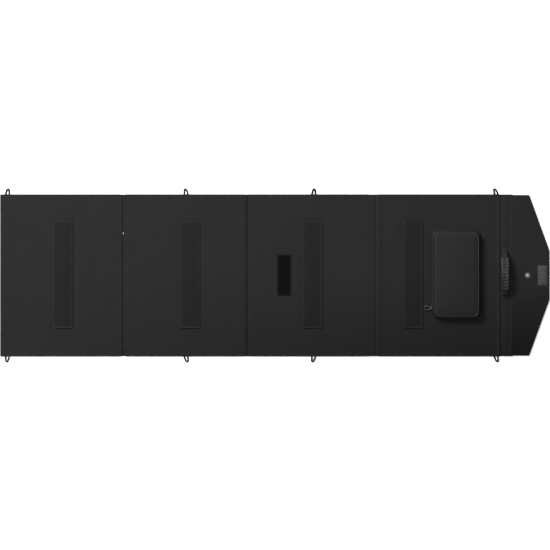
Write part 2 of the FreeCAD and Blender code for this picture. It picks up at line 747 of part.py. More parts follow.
def pouch_lid():
    """Raised lid of the pouch, its walls leaning inwards to a smaller top."""
    body = new_body("layout.pouch_centre", "dims.pouch_shift", "layout.lid_low")
    loft(body, "PartDesign::AdditiveLoft", "outside",
         ("dims.pouch_x", "dims.pouch_y", "dims.pouch_corner"),
         ("dims.lid_top_x", "dims.lid_top_y", "dims.lid_corner"), "dims.lid_rise")
    inset = "2 * dims.pouch_wall"
    loft(body, "PartDesign::SubtractiveLoft", "inside",
         (f"dims.pouch_x - {inset}", f"dims.pouch_y - {inset}", "dims.pouch_corner - dims.pouch_wall"),
         (f"dims.lid_top_x - {inset}", f"dims.lid_top_y - {inset}",
          "dims.lid_corner - dims.pouch_wall"), "dims.lid_rise - dims.pouch_wall")
    keep(body, "pouch_lid")


def zip_slider():
    """Slider on the zip's long left stretch, and the pull loop that hangs from it."""
    place_y = "dims.pouch_shift + dims.slider_place"
    slider = centred_block("layout.slider_low + dims.slider_x / 2", place_y,
                           "layout.slider_mid - dims.slider_z / 2",
                           "dims.slider_x", "dims.slider_y", "dims.slider_z")
    keep(slider, "zip_slider")
    middle = "layout.slider_low - dims.puller_gap - dims.puller_reach / 2"
    base = "layout.slider_mid - dims.puller_thick / 2"
    frame = centred_block(middle, place_y, base,
                          "dims.puller_reach", "dims.puller_width", "dims.puller_thick")
    bar = "2 * dims.puller_bar"
    opening = centred_block(middle, place_y, base, f"dims.puller_reach - {bar}",
                            f"dims.puller_width - {bar}", "dims.puller_thick")
    keep(cut(frame, opening), "zip_puller")


# ---- controller --------------------------------------------------------------

def controller():
    """Case, cover and circuit board of the charge controller inside the pouch."""
    centre = "layout.pouch_centre + dims.case_shift"
    middle = "dims.pouch_shift"
    shell = centred_block(centre, middle, "layout.case_low", "dims.case_x", "dims.case_y", "dims.case_z")
    inner_x, inner_y = "dims.case_x - 2 * dims.case_wall", "dims.case_y - 2 * dims.case_wall"
    hollow = centred_block(centre, middle, "layout.case_low + dims.case_wall",
                           inner_x, inner_y, "dims.case_z")
    slack = "2 * dims.socket_slack"
    mouths = [centred_block("layout.case_left", f"{middle} + {place} * dims.socket_spacing",
                            "layout.socket_low - dims.socket_slack", "4 * dims.case_wall",
                            f"{size_y} + {slack}", f"{size_z} + {slack}")
              for place, size_y, size_z in ((1, "dims.usb_a_y", "dims.usb_a_z"),
                                            (0, "dims.usb_c_y", "dims.usb_c_z"),
                                            (-1, "dims.dc_side", "dims.dc_side"))]
    keep(cut(shell, hollow, *mouths), "controller_case")
    cover = centred_block(centre, middle, "layout.case_low + dims.case_z",
                          "dims.case_x", "dims.case_y", "dims.case_lid_z")
    keep(cover, "controller_cover")
    gap = "2 * dims.circuit_gap"
    circuit = centred_block(centre, middle, "layout.circuit_low", f"{inner_x} - {gap}",
                            f"{inner_y} - {gap}", "dims.circuit_thick")
    keep(circuit, "controller_board")


def socket_block(place, depth, size_y, size_z):
    """Outer block of a socket that stands on the circuit board and faces the case's left."""
    return block("layout.case_left - dims.socket_proud",
                 f"dims.pouch_shift + {place} * dims.socket_spacing - ({size_y}) / 2",
                 "layout.socket_low", depth, size_y, size_z)


def slot_socket(label, place, name):
    """Flat metal socket with an open mouth, sized by the values that start with name."""
    shell = socket_block(place, f"dims.{name}_x", f"dims.{name}_y", f"dims.{name}_z")
    wall = f"dims.{name}_wall"
    mouth = block("layout.case_left - dims.socket_proud",
                  f"dims.pouch_shift + {place} * dims.socket_spacing - dims.{name}_y / 2 + {wall}",
                  f"layout.socket_low + {wall}", f"dims.{name}_x - dims.{name}_floor",
                  f"dims.{name}_y - 2 * {wall}", f"dims.{name}_z - 2 * {wall}")
    keep(cut(shell, mouth), label)


def round_socket():
    """Round power outlet for the output lead."""
    shell = socket_block(-1, "dims.dc_x", "dims.dc_side", "dims.dc_side")
    bore = doc.addObject("Part::Cylinder", "bore")
    bind(bore, Radius="dims.dc_bore", Height="dims.dc_x - dims.dc_floor",
         x="layout.case_left - dims.socket_proud", y="dims.pouch_shift - dims.socket_spacing",
         z="layout.socket_low + dims.dc_side / 2")
    bore.Placement.Rotation = FreeCAD.Rotation(FreeCAD.Vector(0, 1, 0), 90)
    keep(cut(shell, bore), "dc_socket")


# ---- the whole blanket -------------------------------------------------------

for panel in PANELS:
    front_cover(panel)
    front_film(panel)
    cells(panel)
    backing_board(panel)
    back_cover(panel)
    hang_loops(panel)
    leg(panel)
for fold_name in LOWER_AXES:
    web(fold_name)
loop_patch()
spine()
flap()
flap_marks()
handle_grip()
handle_strap()
handle_anchors()
pouch_base()
zip_chain()
pouch_lid()
zip_slider()
controller()
slot_socket("usb_a_socket", 1, "usb_a")
slot_socket("usb_c_socket", 0, "usb_c")
round_socket()
doc.recompute()

failed = [thing.Label for thing in doc.Objects if {"Invalid", "Error"} & set(thing.State)]
if failed:
    raise RuntimeError(f"objects that did not build: {failed}")
for node in nodes:
    if node.Shape.isNull() or not node.Shape.isValid() or not node.Shape.Solids:
        raise RuntimeError(f"no valid solid in {node.Label}")

os.makedirs("parts", exist_ok=True)
for node in nodes:
    node.Shape.exportStep(f"parts/{node.Label}.step")
    box = node.Shape.BoundBox
    print(f"{node.Label:20s} solids {len(node.Shape.Solids)}  volume {node.Shape.Volume:10.1f}"
          f"  x {box.XMin:8.1f} {box.XMax:8.1f}  y {box.YMin:7.1f} {box.YMax:7.1f}"
          f"  z {box.ZMin:6.2f} {box.ZMax:6.2f}")
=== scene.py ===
import json
import math

import bmesh
import bpy
from mathutils import Matrix, Vector, noise

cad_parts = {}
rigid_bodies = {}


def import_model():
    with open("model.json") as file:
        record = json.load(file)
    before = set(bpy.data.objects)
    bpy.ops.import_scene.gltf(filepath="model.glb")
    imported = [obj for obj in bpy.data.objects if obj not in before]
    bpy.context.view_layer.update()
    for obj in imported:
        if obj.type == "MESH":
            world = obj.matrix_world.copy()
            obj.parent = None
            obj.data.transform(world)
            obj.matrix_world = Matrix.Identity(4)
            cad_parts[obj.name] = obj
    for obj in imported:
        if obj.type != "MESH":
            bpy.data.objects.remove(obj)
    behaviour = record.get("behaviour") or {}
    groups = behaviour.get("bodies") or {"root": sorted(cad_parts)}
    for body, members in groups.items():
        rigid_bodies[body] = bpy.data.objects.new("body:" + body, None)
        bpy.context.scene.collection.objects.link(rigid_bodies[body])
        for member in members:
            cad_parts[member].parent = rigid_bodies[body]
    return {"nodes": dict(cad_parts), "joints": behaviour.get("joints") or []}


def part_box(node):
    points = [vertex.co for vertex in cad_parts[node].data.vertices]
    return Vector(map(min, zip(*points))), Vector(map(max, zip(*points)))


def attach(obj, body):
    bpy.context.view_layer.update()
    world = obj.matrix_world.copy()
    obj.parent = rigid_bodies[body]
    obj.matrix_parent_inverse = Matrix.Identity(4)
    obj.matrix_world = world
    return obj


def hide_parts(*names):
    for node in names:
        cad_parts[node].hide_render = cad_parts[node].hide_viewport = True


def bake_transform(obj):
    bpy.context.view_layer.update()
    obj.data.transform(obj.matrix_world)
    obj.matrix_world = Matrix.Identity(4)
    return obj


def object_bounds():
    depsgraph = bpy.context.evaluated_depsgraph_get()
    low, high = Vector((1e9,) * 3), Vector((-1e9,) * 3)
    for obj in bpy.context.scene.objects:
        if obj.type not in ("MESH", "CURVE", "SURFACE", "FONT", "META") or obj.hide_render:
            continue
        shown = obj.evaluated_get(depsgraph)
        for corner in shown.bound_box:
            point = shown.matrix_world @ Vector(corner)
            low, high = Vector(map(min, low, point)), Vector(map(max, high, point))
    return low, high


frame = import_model()
cad_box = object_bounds()

# ---- solar cells ---------------------------------------------------------------------------
# Six pseudo-square black silicon cells a panel in two columns of three, with tinned bus strips
# soldered down each face. They lie face down between the clear film and the backing board.
MM = 0.001
PANELS = (1, 2, 3, 4)
CELL_COLUMNS = 2
CELL_ROWS = 3
CELL_GAP = 3 * MM
CELL_CORNER = 9 * MM
BUS_STRIPS = 4
BUS_WIDTH = 1.4 * MM
BUS_THICK = 0.05 * MM
BLACK_SILICON = (0.006, 0.009, 0.028, 1)
BLUE_SILICON = (0.012, 0.022, 0.075, 1)
TINNED_STRIP = (0.55, 0.56, 0.58, 1)


class Signal:
    """A shader socket that Python's operators work on, with the node tree that it is in."""

    def __init__(self, tree, socket=None):
        self.tree = tree
        self.socket = socket

    def node(self, kind, settings, inputs, output=0):
        made = self.tree.nodes.new("ShaderNode" + kind)
        for key, value in settings.items():
            setattr(made, key, value)
        for key, value in inputs.items():
            if isinstance(value, Signal):
                self.tree.links.new(value.socket, made.inputs[key])
            else:
                made.inputs[key].default_value = value
        return Signal(self.tree, made.outputs[output])

    def math(self, operation, first, second=0.0):
        return self.node("Math", {"operation": operation}, {0: first, 1: second})

    def __add__(self, other):
        return self.math("ADD", self, other)

    def __sub__(self, other):
        return self.math("SUBTRACT", self, other)

    def __rsub__(self, other):
        return self.math("SUBTRACT", other, self)

    def __mul__(self, other):
        return self.math("MULTIPLY", self, other)

    __radd__ = __add__
    __rmul__ = __mul__

    def sine(self):
        return self.math("SINE", self)

    def clamped(self):
        return self.node("Clamp", {}, {"Value": self})

    def stretched(self, across, along, up):
        return self.node("VectorMath", {"operation": "MULTIPLY"}, {0: self, 1: (across, along, up)})

    def noise(self, scale, detail=2.0):
        return self.node("TexNoise", {}, {"Vector": self, "Scale": scale, "Detail": detail}, "Fac")

    def axes(self):
        return [self.node("SeparateXYZ", {}, {0: self}, axis) for axis in "XYZ"]

    def between(self, first, second):
        """A colour that runs from first to second as this signal goes from 0 to 1."""
        return self.node("Mix", {"data_type": "RGBA"}, {0: self, 6: first, 7: second}, 2)


def new_finish(name):
    """An empty material, with its Object coordinates as a signal."""
    finish = bpy.data.materials.new(name)
    finish.use_nodes = True
    finish.node_tree.nodes.clear()
    return finish, Signal(finish.node_tree).node("TexCoord", {}, {}, "Object")


def close_finish(place, colour, roughness, height, **constants):
    """Ends a material: height is the bump's relief in metres, and constants stay on the shader."""
    normal = place.node("Bump", {}, {"Height": height, "Distance": 1.0})
    inputs = {"Base Color": colour, "Roughness": roughness, "Normal": normal}
    inputs.update({key.replace("_", " "): value for key, value in constants.items()})
    shader = place.node("BsdfPrincipled", {}, inputs)
    output = place.tree.nodes.new("ShaderNodeOutputMaterial")
    place.tree.links.new(shader.socket, output.inputs["Surface"])


def new_piece(name, mesh_maker, finish, crease=35):
    """Makes a bmesh a shown object at the origin, smooth but for edges sharper than crease."""
    mesh = bpy.data.meshes.new(name)
    mesh_maker.normal_update()
    mesh_maker.to_mesh(mesh)
    mesh_maker.free()
    mesh.shade_smooth()
    mesh.set_sharp_from_angle(angle=math.radians(crease))
    mesh.materials.append(finish)
    piece = bpy.data.objects.new(name, mesh)
    bpy.context.scene.collection.objects.link(piece)
    return piece


def flat_face(corners, height, radius=0.0, arcs=5):
    """A bmesh with one flat face: its corners go anticlockwise and are rounded."""
    shape = bmesh.new()
    shape.faces.new([shape.verts.new((x, y, height)) for x, y in corners])
    if radius:
        bmesh.ops.bevel(shape, geom=shape.verts[:], offset=radius, offset_type="OFFSET",
                        affect="VERTICES", segments=arcs, profile=0.5, material=-1)
    return shape


def oblong(low, high, inset=0.0):
    """The four corners of a rectangle in plan, inset on all sides."""
    left, right, bottom, top = low.x + inset, high.x - inset, low.y + inset, high.y - inset
    return [(left, bottom), (right, bottom), (right, top), (left, top)]


def ringed(shape, steps, floor=True):
    """Carries the flat face through rings, each one (inset, rise), with or without an underside."""
    base = top = shape.faces[:][0]
    for inset, rise in steps:
        if inset:
            bmesh.ops.inset_region(shape, faces=[top], thickness=inset, use_even_offset=True,
                                   use_boundary=True)
        else:
            made = bmesh.ops.extrude_face_region(shape, geom=[top])["geom"]
            top = next(item for item in made if isinstance(item, bmesh.types.BMFace))
        bmesh.ops.translate(shape, vec=(0, 0, rise), verts=top.verts[:])
    if floor:
        bmesh.ops.contextual_create(shape, geom=[edge for edge in shape.edges if edge.is_boundary])
        bmesh.ops.recalc_face_normals(shape, faces=shape.faces[:])
    elif base.is_valid and base != top:
        bmesh.ops.delete(shape, geom=[base], context="FACES_ONLY")
    return shape


def rounding(radius, count=3):
    """Ring steps of a quarter round, from rising to running inwards."""
    turns = [step * math.pi / 2 / count for step in range(count + 1)]
    return [(radius * (math.cos(a) - math.cos(b)), radius * (math.sin(b) - math.sin(a)))
            for a, b in zip(turns, turns[1:])]


def steps_between(low, high, pitch):
    """Evenly spaced places strictly between low and high, about pitch apart."""
    count = max(1, round((high - low) / pitch))
    return [low + (high - low) * step / count for step in range(1, count)]


def cut_across(shape, axis, places):
    """Cuts the whole mesh with a plane across X (axis 0) or Y (axis 1) at each place."""
    normal = Vector((axis == 0, axis == 1, axis == 2))
    for place in places:
        bmesh.ops.bisect_plane(shape, geom=shape.verts[:] + shape.edges[:] + shape.faces[:],
                               dist=1e-6, plane_co=normal * place, plane_no=normal)


def join_mesh(whole, part):
    """Adds one bmesh to another and frees it."""
    mesh = bpy.data.meshes.new("part")
    part.to_mesh(mesh)
    part.free()
    whole.from_mesh(mesh)
    bpy.data.meshes.remove(mesh)


def add_block(shape, low, high, edge=0.0):
    """Adds a box between two corners, its edges rounded."""
    size = Vector(high) - Vector(low)
    middle = Matrix.Translation((Vector(high) + Vector(low)) / 2)
    made = bmesh.ops.create_cube(shape, size=1, matrix=middle @ Matrix.Diagonal((*size, 1)))
    if edge:
        edges = list({edge for vert in made["verts"] for edge in vert.link_edges})
        bmesh.ops.bevel(shape, geom=edges, offset=edge, offset_type="OFFSET", affect="EDGES",
                        segments=2, profile=0.5, material=-1)


def silicon():
    """Anti-reflection blue-black, with the fine silver fingers that cross each cell."""
    finger_pitch = 2.1 * MM
    finish, place = new_finish("black_silicon")
    across, along = place.axes()[:2]
    fingers = ((along * (2 * math.pi / finger_pitch)).sine() * 4 - 3).clamped()
    cloud = place.noise(14, 3)
    colour = (fingers * 0.35).between(cloud.between(BLACK_SILICON, BLUE_SILICON), TINNED_STRIP)
    close_finish(place, colour, cloud * 0.1 + 0.22, fingers * (0.02 * MM), Metallic=0.2)
    return finish


def brushed_metal(name, dark, light, grain=900, roughness=0.32):
    """Drawn or plated metal, with fine scratches along it."""
    finish, place = new_finish(name)
    scratches = place.stretched(1, 0.08, 1).noise(grain, 3)
    close_finish(place, scratches.between(dark, light), scratches * 0.2 + roughness,
                 scratches * (0.02 * MM), Metallic=1.0)
    return finish


silicon_finish = silicon()
strip_finish = brushed_metal("tinned_strip", (0.42, 0.43, 0.45, 1), TINNED_STRIP)
for number in PANELS:
    low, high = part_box(f"cells_{number}")
    cell_width = (high.x - low.x - CELL_GAP * (CELL_COLUMNS - 1)) / CELL_COLUMNS
    cell_height = (high.y - low.y - CELL_GAP * (CELL_ROWS - 1)) / CELL_ROWS
    cells = bmesh.new()
    strips = bmesh.new()
    for column in range(CELL_COLUMNS):
        for row in range(CELL_ROWS):
            corner = Vector((low.x + column * (cell_width + CELL_GAP),
                             low.y + row * (cell_height + CELL_GAP), low.z))
            far = corner + Vector((cell_width, cell_height, 0))
            cell = ringed(flat_face(oblong(corner, far), low.z, CELL_CORNER, 1),
                          [(0, high.z - low.z)])
            join_mesh(cells, cell)
            for strip in range(BUS_STRIPS):
                x = corner.x + cell_width * (strip + 0.5) / BUS_STRIPS
                add_block(strips, (x - BUS_WIDTH / 2, corner.y + BUS_WIDTH, low.z - BUS_THICK),
                          (x + BUS_WIDTH / 2, far.y - BUS_WIDTH, low.z))
    cells_piece = new_piece(f"solar_cells_{number}", cells, silicon_finish)
    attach(cells_piece, f"panel_{number}")
    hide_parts(f"cells_{number}")
    strips_piece = new_piece(f"bus_strips_{number}", strips, strip_finish)
    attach(strips_piece, f"panel_{number}")

# ---- clear film and boards -----------------------------------------------------------------
# The film is a clear laminate over the cells. The backing boards, the leg boards and the flap
# board are pressed fibre sheet, slipped between the covers before the hems are sewn.


def clear_laminate():
    """Clear film: faint embossed texture, mostly see-through."""
    finish, place = new_finish("clear_laminate")
    dimple = place.noise(1500, 1)
    close_finish(place, dimple.between((0.5, 0.52, 0.55, 1), (0.6, 0.62, 0.66, 1)),
                 dimple * 0.1 + 0.18, dimple * (0.03 * MM), Alpha=0.16, IOR=1.49)
    return finish


def fibre_board():
    """Brown-grey pressed board, flecked."""
    finish, place = new_finish("fibre_board")
    fleck = place.noise(420, 4)
    close_finish(place, fleck.between((0.045, 0.036, 0.028, 1), (0.14, 0.11, 0.08, 1)),
                 fleck * 0.2 + 0.65, fleck * (0.1 * MM))
    return finish


def refinish(node, finish):
    """Gives a carried-over node its finish."""
    mesh = frame["nodes"][node].data
    mesh.materials.clear()
    mesh.materials.append(finish)


laminate_finish = clear_laminate()
board_finish = fibre_board()
for number in PANELS:
    refinish(f"front_film_{number}", laminate_finish)
    refinish(f"backing_board_{number}", board_finish)
    refinish(f"leg_board_{number}", board_finish)
refinish("flap_board", board_finish)

# ---- front frames --------------------------------------------------------------------------
# A sheet of black coated polyester with a window cut out, sewn over the film's border with a
# line of thread round the window and another round the panel's edge.
CORNER = 1.6 * MM
WINDOW = (263 * MM, 391 * MM)
WINDOW_HEM = 6 * MM
SEAM_INSET = 4.5 * MM
STITCH = 3.2 * MM
STITCH_PITCH = 5.2 * MM
THREAD = 0.34 * MM
CLOTH_DARK = (0.0060, 0.0060, 0.0063, 1)
CLOTH_LIGHT = (0.0104, 0.0104, 0.0109, 1)
# Painted shade: how steeply the cloth's colour darkens towards the bottom right.
PAINTED_SHADE_SLOPE = 2.4


def woven(name, dark, light, thread=0.6 * MM, wrinkle=0.5 * MM, roughness=0.62, shade_slope=PAINTED_SHADE_SLOPE,
          **constants):
    """Coated plain weave: crossing threads, soft wrinkles, and painted shade that darkens the colour towards
    the bottom, more so to the right, standing in for the light falling off from the upper left.
    """
    finish, place = new_finish(name)
    across, along = place.axes()[:2]
    turn = 2 * math.pi / thread
    threads = (across * turn).sine() * (along * turn).sine()
    lint = place.noise(2200, 2)
    soft = place.noise(7, 3)
    # Painted shade: the colour is darkened towards the bottom, more so to the right, in place of the light's
    # falloff from the upper-left lamp.
    falloff = (along * shade_slope * (across + 0.8) + 1).clamped() * 0.8 + 0.2
    creases = place.stretched(1, 0.55, 1).noise(26, 4)
    shade = (soft * 0.5 + lint * 0.3 + threads * 0.12 + 0.12).clamped()
    height = creases * wrinkle + threads * (0.03 * MM) + lint * (0.02 * MM)
    cloth = falloff.between((0, 0, 0, 1), shade.between(dark, light))
    close_finish(place, cloth, soft * 0.12 + roughness, height, **constants)
    return finish


def thread_finish(name, dark, light):
    """Spun sewing thread with a slight lustre."""
    finish, place = new_finish(name)
    twist = place.noise(3000, 2)
    close_finish(place, twist.between(dark, light), twist * 0.2 + 0.5, twist * (0.05 * MM))
    return finish


def sew(name, runs, body, finish, pitch=STITCH_PITCH, length=STITCH, thick=THREAD):
    """Sews straight runs of stitches, each run from one point to another, as one piece."""
    seams = bmesh.new()
    for start, end in runs:
        start, end = Vector(start), Vector(end)
        along = end - start
        count = max(1, int(along.length / pitch))
        turn = along.to_track_quat("X", "Z").to_matrix().to_4x4()
        size = Matrix.Diagonal((length / 2, thick, thick * 0.8, 1))
        run = bmesh.new()
        bmesh.ops.create_uvsphere(run, u_segments=6, v_segments=4, radius=1,
                                  matrix=Matrix.Translation(start + along * (0.5 / count)) @ turn @ size)
        bmesh.ops.spin(run, geom=run.verts[:] + run.edges[:] + run.faces[:], cent=(0, 0, 0),
                       axis=(0, 0, 1), dvec=along / count, angle=0, steps=count - 1,
                       use_duplicate=True)
        join_mesh(seams, run)
    piece = new_piece(name, seams, finish, 80)
    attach(piece, body)
    return piece


def round_runs(corners, height):
    """The runs of a closed seam through these corners at one height."""
    closed = corners + corners[:1]
    return [((*a, height), (*b, height)) for a, b in zip(closed, closed[1:])]


def thicken(piece, what, thick, offset):
    """Gives a sheet its thickness: offset -1 is all on its inner side, 0 is half on each."""
    thickness = piece.modifiers.new(what, "SOLIDIFY")
    thickness.thickness = thick
    thickness.offset = offset


cloth_finish = woven("coated_cloth", CLOTH_DARK, CLOTH_LIGHT, Specular_IOR_Level=0.07)
# The flap's cloth gets a steeper painted shade, so its lower part comes out darker.
flap_finish = woven("flap_cloth", CLOTH_DARK, CLOTH_LIGHT, shade_slope=3.6, Specular_IOR_Level=0.07)
black_thread = thread_finish("black_thread", (0.006, 0.006, 0.007, 1), (0.02, 0.02, 0.021, 1))
for number in PANELS:
    low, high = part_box(f"front_cover_{number}")
    width, height = high.x - low.x, high.y - low.y
    middle = (low + high) / 2
    frame_sheet = flat_face(oblong(low, high), low.z)
    ringed(frame_sheet, [(SEAM_INSET + 2 * MM, 0)], floor=False)
    inner = max(frame_sheet.faces, key=lambda face: face.calc_area())
    bmesh.ops.inset_region(frame_sheet, faces=[inner], thickness=WINDOW_HEM, depth=0,
                           use_even_offset=True)
    for vert in inner.verts:
        side = Vector((math.copysign(WINDOW[0] / 2, vert.co.x - middle.x),
                       math.copysign(WINDOW[1] / 2, vert.co.y - middle.y), 0))
        vert.co = Vector((middle.x, middle.y, low.z)) + side
    bmesh.ops.delete(frame_sheet, geom=[inner], context="FACES_ONLY")
    bmesh.ops.remove_doubles(frame_sheet, verts=frame_sheet.verts[:], dist=0.05 * MM)
    bmesh.ops.reverse_faces(frame_sheet, faces=frame_sheet.faces[:])
    front = new_piece(f"front_frame_{number}", frame_sheet, cloth_finish)
    thicken(front, "cloth", high.z - low.z, -1)
    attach(front, f"panel_{number}")
    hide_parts(f"front_cover_{number}")
    half = Vector((WINDOW[0] / 2 + SEAM_INSET, WINDOW[1] / 2 + SEAM_INSET, 0))
    sew(f"front_seams_{number}",
        round_runs(oblong(low, high, SEAM_INSET), low.z)
        + round_runs(oblong(middle - half, middle + half), low.z),
        f"panel_{number}", black_thread)

# ---- back covers ---------------------------------------------------------------------------
# One sheet of the same cloth over each board, its hem turned down and sewn to the front frame.
# It lies loose, in long soft waves, except where the leg, pouch and patch are sewn on.
COVER_PITCH = 6 * MM
CLOTH = 0.5 * MM
HEM_ROUND = 1.3 * MM
WAVE = 1.0 * MM
PUCKER = 0.3 * MM
CALM_MARGIN = 10 * MM
ATTACHED = {1: ["leg_cover_1"], 2: ["leg_cover_2"], 3: ["leg_cover_3", "loop_patch"],
            4: ["leg_cover_4", "pouch_base"]}


def smooth(low, high, value):
    """0 below low, 1 above high, and an even ease between."""
    share = min(1.0, max(0.0, (value - low) / (high - low)))
    return share * share * (3 - 2 * share)


def outside(low, high, x, y):
    """How far a point lies outside a rectangle in plan, 0 inside it."""
    return math.hypot(max(low.x - x, 0, x - high.x), max(low.y - y, 0, y - high.y))


def wave(x, y, seed):
    """Soft long waves of loose cloth, about -1 to 1."""
    long_wave = noise.noise(Vector((x * 7.5 + y * 2, y * 5, seed)))
    short_wave = noise.noise(Vector((x * 21, y * 13 - x * 6, seed + 9.1)))
    return long_wave * 1.2 + short_wave * 0.5


def hem_pucker(x, y, low, high):
    """Puckers that the hem's stitches draw up, dying out inwards."""
    inside_x = min(x - low.x, high.x - x)
    inside_y = min(y - low.y, high.y - y)
    along = y if inside_x < inside_y else x
    falloff = math.exp(-max(0.0, min(inside_x, inside_y)) / (14 * MM))
    beat = noise.noise(Vector((x * 16, y * 16, 4.2)))
    return falloff * math.sin(along * 2 * math.pi / (33 * MM) + beat * 4) * PUCKER


SEAM_CUTS = [step * MM for step in (2.6, 3.4, 4.1, 4.9, 5.6, 6.6)]


def inside_of(corners, x, y):
    """How far a point lies inside a convex outline."""
    ends = list(zip(corners, corners[1:] + corners[:1]))
    return min(((b[0] - a[0]) * (y - a[1]) - (b[1] - a[1]) * (x - a[0])) / math.dist(a, b)
               for a, b in ends)


def seam_groove(inside, depth):
    """The line that stitches pull down, SEAM_INSET in from an edge, between two soft rolls."""
    off = abs(inside - SEAM_INSET)
    rolls = 0.25 * depth * (1 - smooth(1.6 * MM, 3 * MM, off))
    return rolls - depth * (1 - smooth(0.3 * MM, 1.2 * MM, off))


def cut_seams(shape, low, high):
    """Cuts rows of faces along the seam lines of a rectangle's four edges."""
    for axis in (0, 1):
        cut_across(shape, axis, [low[axis] + inset for inset in SEAM_CUTS])
        cut_across(shape, axis, [high[axis] - inset for inset in SEAM_CUTS])


for number in PANELS:
    low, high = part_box(f"back_cover_{number}")
    calm = [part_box(node) for node in ATTACHED[number]]
    shape = flat_face(oblong(low, high), low.z, CORNER)
    ringed(shape, [(0, high.z - low.z - HEM_ROUND)] + rounding(HEM_ROUND), floor=False)
    cut_seams(shape, low, high)
    cut_across(shape, 0, steps_between(low.x, high.x, COVER_PITCH))
    cut_across(shape, 1, steps_between(low.y, high.y, COVER_PITCH))
    for vert in shape.verts:
        x, y, z = vert.co
        if z > high.z - HEM_ROUND:
            inside = min(x - low.x, high.x - x, y - low.y, high.y - y)
            free = min(smooth(1 * MM, CALM_MARGIN, outside(a, b, x, y)) for a, b in calm)
            lift = wave(x, y, number) * WAVE * smooth(2 * MM, 40 * MM, inside) + 0.25 * MM
            vert.co.z += free * lift + hem_pucker(x, y, low, high) * free
            vert.co.z += seam_groove(inside, 0.4 * MM) * (inside > HEM_ROUND)
    cover = new_piece(f"back_sheet_{number}", shape, cloth_finish, 60)
    thicken(cover, "cloth", CLOTH, -1)
    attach(cover, f"panel_{number}")
    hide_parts(f"back_cover_{number}")
    sew(f"back_seams_{number}", round_runs(oblong(low, high, SEAM_INSET), high.z - 0.1 * MM),
        f"panel_{number}", black_thread)

# ---- hanging loops -------------------------------------------------------------------------
# Short lengths of shiny round-edged ribbon, doubled into a loop and caught in the hem at the top
# and bottom of each panel. Each one has taken its own lean.
LOOP_RADIUS = 2.3 * MM
LOOP_LEANS = {1: (2, -2), 2: (-2, 2.5), 3: (1.5, -3), 4: (-4, 3.5)}
LOOP_FLATNESS = 0.75


def tube(name, points, radius, finish, closed=False, sides=3):
    """A round cord through the points, as a mesh."""
    curve = bpy.data.curves.new(name + "_line", "CURVE")
    curve.dimensions = "3D"
    curve.bevel_depth = radius
    curve.bevel_resolution = sides
    curve.resolution_u = 6
    curve.use_fill_caps = not closed
    line = curve.splines.new("NURBS")
    line.points.add(len(points) - 1)
    for point, place in zip(line.points, points):
        point.co = (*place, 1)
    line.order_u = 3
    line.use_cyclic_u = closed
    line.use_endpoint_u = not closed
    carrier = bpy.data.objects.new(name + "_line", curve)
    shape = bmesh.new()
    shape.from_mesh(carrier.to_mesh())
    bpy.data.objects.remove(carrier)
    bpy.data.curves.remove(curve)
    bmesh.ops.remove_doubles(shape, verts=shape.verts[:], dist=0.02 * MM)
    return new_piece(name, shape, finish, 60)


ribbon_finish = woven("satin_ribbon", (0.003, 0.003, 0.0035, 1), (0.008, 0.008, 0.009, 1),
                      thread=0.8 * MM, wrinkle=0.1 * MM, roughness=0.5, Specular_IOR_Level=0.1)
for number in PANELS:
    low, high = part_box(f"hang_loops_{number}")
    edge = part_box(f"back_cover_{number}")[1].y
    middle = (low.x + high.x) / 2
    half = (high.x - low.x) / 2 - LOOP_RADIUS
    height = (low.z + high.z) / 2
    tip = high.y - LOOP_RADIUS
    for side, word in ((1, "top"), (-1, "bottom")):
        lean = LOOP_LEANS[number][0 if side == 1 else 1] * MM
        route = [(middle - half, edge - 6 * MM), (middle - half, edge + 1 * MM),
                 (middle - half * 0.8 + lean * 0.5, edge + 8 * MM),
                 (middle - half * 0.5 + lean, tip), (middle + half * 0.5 + lean, tip),
                 (middle + half * 0.8 + lean * 0.5, edge + 8 * MM),
                 (middle + half, edge + 1 * MM), (middle + half, edge - 6 * MM)]
        points = [(x, y * side, height) for x, y in route]
        loop = tube(f"hang_loop_{number}_{word}", points, LOOP_RADIUS, ribbon_finish)
        for vert in loop.data.vertices:
            vert.co.z = height + (vert.co.z - height) * LOOP_FLATNESS
        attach(loop, f"panel_{number}")
        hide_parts(f"hang_loops_{number}")

# ---- fold webs -----------------------------------------------------------------------------
# Strips of doubled cloth that join the panels and carry the wiring ribbons, sewn under the two
# hems. Folds one and three bend along both edges and are made in two halves that meet along the
# middle; fold two is a single narrow crease.
BEND = 1.4 * MM
WEB_TUCK = 3 * MM
WEB_PUCKER = 0.25 * MM
LAP = 0.25 * MM


def axis_between(body, other):
    """Where the hinge that joins two bodies lies."""
    found = [joint for joint in frame["joints"] if {joint["parent"], joint["child"]} == {body, other}]
    return Vector(found[0]["pos_m"])


def height_at(profile, x):
    """The height of a cross-section given as (place, height) points, eased between them."""
    for (x0, z0), (x1, z1) in zip(profile, profile[1:]):
        if x <= x1:
            return z0 + (z1 - z0) * smooth(x0, x1, x)
    return profile[-1][1]


def fold_piece(name, near, far, start, end, low_z, profile, half_height, finish, bend=BEND):
    """A doubled strip from X start to end, shaped to the profile and cut finely about the hinge between body
    near and body far.
    """
    left, right = min(start, end), max(start, end)
    hinge = axis_between(near, far).x
    shape = flat_face([(left, -half_height), (right, -half_height), (right, half_height),
                       (left, half_height)], low_z)
    ringed(shape, [(0, 1 * MM)])
    bend_cuts = [hinge + step * bend / 4 for step in range(-5, 6)]
    even_cuts = steps_between(left, right, 1.5 * MM)
    cuts = [x for x in bend_cuts + even_cuts if left + 0.1 * MM < x < right - 0.1 * MM]
    cut_across(shape, 0, sorted(cuts))
    cut_across(shape, 1, steps_between(-half_height, half_height, 8 * MM))
    for vert in shape.verts:
        x, y, z = vert.co
        if z > low_z + 0.5 * MM:
            pucker = math.sin(y * 2 * math.pi / (29 * MM) + noise.noise(Vector((x, y, 1)) * 12) * 5)
            end_round = 1.2 * MM * (1 - smooth(0, 3 * MM, half_height - abs(y)))
            vert.co.z = height_at(profile, x) + pucker * WEB_PUCKER - end_round
    piece = new_piece(name, shape, finish, 60)
    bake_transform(piece)
    right - left
    return piece


